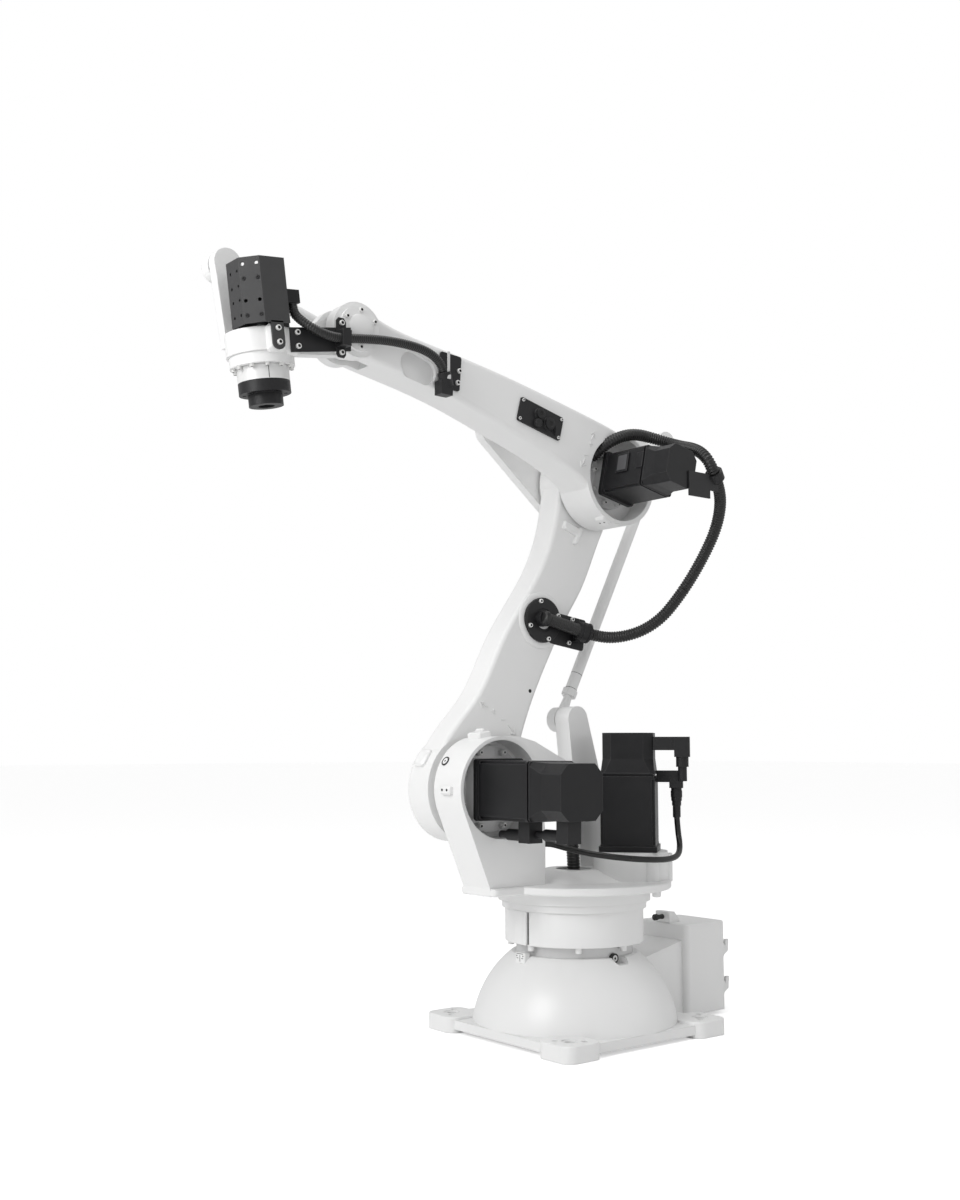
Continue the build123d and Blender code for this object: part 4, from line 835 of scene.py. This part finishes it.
# Wrist motor guard
# Bent sheet, blackened, round the front of the motor. Rows of holes are drilled through it, some filled by
# button screws. Its leg rests on a cast pad of the wrist, where two bright screws hold it.
GUARD_LOW, GUARD_HIGH = 147, 274
GUARD_OUTER = ((-24, 80), (31, 80), (61, 53), (61, 5), (31, -22), (-24, -22))
GUARD_INNER = ((-24, 76), (29.4, 76), (57, 51.2), (57, 6.8), (29.4, -18), (-24, -18))
GUARD_LEG = ((-8.5, 150), (-8.5, 108), (-6.6, 101), (-1.7, 96.4), (5, 94.6), (11.7, 96.4), (16.6, 101),
             (18.5, 108), (18.5, 150))
GUARD_CORNER = Vector((61, 53, 0))
SLANT = Vector((-30, 27, 0)).normalized()
SLANT_OUT = TOOL_ALONG * 0.669 + ACROSS * 0.743
# The guard's finish carries a painted highlight along its edges, lighter than its sheet.
guard_black = finish("guard_black", (0.036, 0.036, 0.037), (0.05, 0.05, 0.051), 0.5, 40, 1500, 0.18, 0.42,
                     0.16, 0.0008, edge_highlight_colour=(0.11, 0.11, 0.115), edge_highlight_amount=0.6)

guard = Piece()
count = len(GUARD_OUTER)
ring = [at_tool(x, y, h) for h in (GUARD_LOW, GUARD_HIGH) for x, y in GUARD_OUTER + GUARD_INNER]
walls = []
for k in range(count - 1):
    for low, high in ((k, k + 2 * count), (k + count, k + 3 * count)):
        walls.append([low, low + 1, high + 1, high])
    for base in (0, 2 * count):
        walls.append([base + k, base + k + 1, base + count + k + 1, base + count + k])
for end in (0, count - 1):
    walls.append([end, end + count, end + 3 * count, end + 2 * count])
guard.add(ring, walls)
guard_piece = guard.place("guard_sheet", "wrist", "black_steel", guard_black)
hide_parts("motor_guard")

drills, buttons = Piece(), Piece()
for reach in (6.8, 33.8):
    for height, drilled in ((261, True), (233, False), (190, True), (162, False)):
        foot = GUARD_CORNER + SLANT * reach
        spot = at_tool(foot.x, foot.y, height)
        if drilled:
            drills.turned(spot - SLANT_OUT * 8, SLANT_OUT, [(3.7, 0), (3.7, 16)], 20)
        else:
            buttons.turned(spot - SLANT_OUT * 0.2, SLANT_OUT,
                           [(4.2, 0), (4, 1), (3.2, 1.9), (1.9, 2.1), (1.7, 0.8)], 24, (3, 4), 3)
for y in (43.4, 18.5):
    for height in (250, 221, 194, 165):
        drills.turned(at_tool(53, y, height), TOOL_ALONG, [(3.3, 0), (3.3, 16)], 20)
drill = drills.place("drill_tools", "wrist", "black_steel", painted_shade_and_marks)
cut = guard_piece.modifiers.new("drilled", "BOOLEAN")
cut.object = drill
cut.operation = "DIFFERENCE"
cut.solver = "EXACT"
bpy.context.view_layer.update()
evaluated = guard_piece.evaluated_get(bpy.context.evaluated_depsgraph_get())
drilled_mesh = bpy.data.meshes.new_from_object(evaluated)
guard_piece.modifiers.clear()
guard_piece.data = drilled_mesh
drilled_mesh.shade_smooth()
drilled_mesh.set_sharp_from_angle(angle=math.radians(30))
bpy.data.objects.remove(drill)
buttons.place("guard_button_screws", "wrist", "black_steel", black_steel, painted_shade_and_marks)

leg = Piece()
n = len(GUARD_LEG)
leg_verts = [at_tool(x, y, h) for y in (76, 80) for x, h in GUARD_LEG]
leg.add(leg_verts, [[k, (k + 1) % n, n + (k + 1) % n, n + k] for k in range(n)]
        + [list(range(n))[::-1], list(range(n, 2 * n))])
leg.place("guard_leg", "wrist", "black_steel", guard_black)
leg_screws = Piece()
for height in (136, 108.5):
    leg_screws.cap_screw(at_tool(5, 79.8, height), ACROSS, 5.6, 5)
leg_screws.place("guard_leg_screws", "wrist", "steel", bright_steel, painted_shade_and_marks)

# Output hub and tool flange
# Bright turned hub and a blackened flange with a bored nose. A scribed line across the ring, the hub and
# the flange marks the tool's zero.
turned_hub = finish("turned_hub", (0.76, 0.76, 0.755), (0.66, 0.66, 0.66), 0.5, 60, 900, 0.12, 0.36, 0.15,
                    0.0008, metal=0.1)
paint(turned_hub, "output_hub")
paint(black_steel, "tool_flange")
mark = Piece()
turn = math.radians(72)
out = TOOL_ALONG * math.cos(turn) + ACROSS * math.sin(turn)
for radius, low, high in ((51, 47, 74), (51, 24, 46)):
    centre = at_tool(0, 0, (low + high) / 2) + out * radius
    mark.block(centre, TOOL_UP, out.cross(TOOL_UP), (high - low, 1.2, 0.7), 0.15)
mark.place("tool_zero_mark", "tool", "black_steel", painted_shade_and_marks)

# Floor, lights and camera
# A wide pale floor under a white surround, soft lamps from the left, above and the right, and the camera
# at the photograph's place and angle.
CAMERA_PLACE = (2.0993, 2.2689, 0.6322)
CAMERA_RIGHT = Vector((-0.7787, 0.6273, 0)).normalized()
CAMERA_BACK = Vector((0.6237, 0.7742, -0.1073)).normalized()
LAMPS = (("left_lamp", (3.6, 0.4, 2.3), 1.8, 66), ("top_lamp", (0.6, 0.2, 4.0), 2.4, 38),
         ("right_lamp", (-2.6, 2.8, 1.6), 1.6, 6))
LAMP_TARGET = Vector((0.15, 0.05, 0.8))
SURROUND_LEVEL = 0.56
FLOOR_REACH = 40
FLOOR_LIFT = 0.46

floor_mesh = bpy.data.meshes.new("floor")
corners = ((-1, -1), (1, -1), (1, 1), (-1, 1))
floor_mesh.from_pydata([(x * FLOOR_REACH, y * FLOOR_REACH, -0.0005) for x, y in corners], [], [(0, 1, 2, 3)])
floor = bpy.data.objects.new("floor", floor_mesh)
bpy.context.scene.collection.objects.link(floor)
floor_material = bpy.data.materials.new("pale_floor")
floor_material.use_nodes = True
nodes, links = floor_material.node_tree.nodes, floor_material.node_tree.links
shader = next(node for node in nodes if node.type == "BSDF_PRINCIPLED")
shader.inputs["Base Color"].default_value = (0.92, 0.92, 0.92, 1)
shader.inputs["Roughness"].default_value = 0.9
shader.inputs["Specular IOR Level"].default_value = 0.1
seen = nodes.new("ShaderNodeLightPath")
lift = nodes.new("ShaderNodeMath")
lift.operation = "MULTIPLY"
lift.inputs[1].default_value = FLOOR_LIFT
links.new(seen.outputs["Is Camera Ray"], lift.inputs[0])
links.new(lift.outputs[0], shader.inputs["Emission Strength"])
shader.inputs["Emission Color"].default_value = (1, 1, 1, 1)
floor_mesh.materials.append(floor_material)

for name, spot, size, power in LAMPS:
    lamp = bpy.data.lights.new(name, "AREA")
    lamp.size = size
    lamp.energy = power
    holder = bpy.data.objects.new(name, lamp)
    bpy.context.scene.collection.objects.link(holder)
    holder.location = spot
    holder.rotation_euler = (LAMP_TARGET - Vector(spot)).to_track_quat("-Z", "Y").to_euler()

surround = bpy.data.worlds.new("white_surround")
surround.use_nodes = True
nodes, links = surround.node_tree.nodes, surround.node_tree.links
background = next(node for node in nodes if node.type == "BACKGROUND")
background.inputs["Color"].default_value = (1, 1, 1, 1)
seen = nodes.new("ShaderNodeLightPath")
level = nodes.new("ShaderNodeMath")
level.operation = "MULTIPLY_ADD"
level.inputs[1].default_value = 1 - SURROUND_LEVEL
level.inputs[2].default_value = SURROUND_LEVEL
links.new(seen.outputs["Is Camera Ray"], level.inputs[0])
links.new(level.outputs[0], background.inputs["Strength"])
bpy.context.scene.world = surround
bpy.context.scene.view_settings.view_transform = "Standard"

camera_data = bpy.data.cameras.new("photo_camera")
camera_data.sensor_fit = "VERTICAL"
camera_data.sensor_height = 36
camera_data.lens = 40.35
camera = bpy.data.objects.new("photo_camera", camera_data)
bpy.context.scene.collection.objects.link(camera)
axes = Matrix((CAMERA_RIGHT, CAMERA_BACK.cross(CAMERA_RIGHT), CAMERA_BACK)).transposed().to_4x4()
camera.matrix_world = Matrix.Translation(CAMERA_PLACE) @ axes
bpy.context.scene.camera = camera
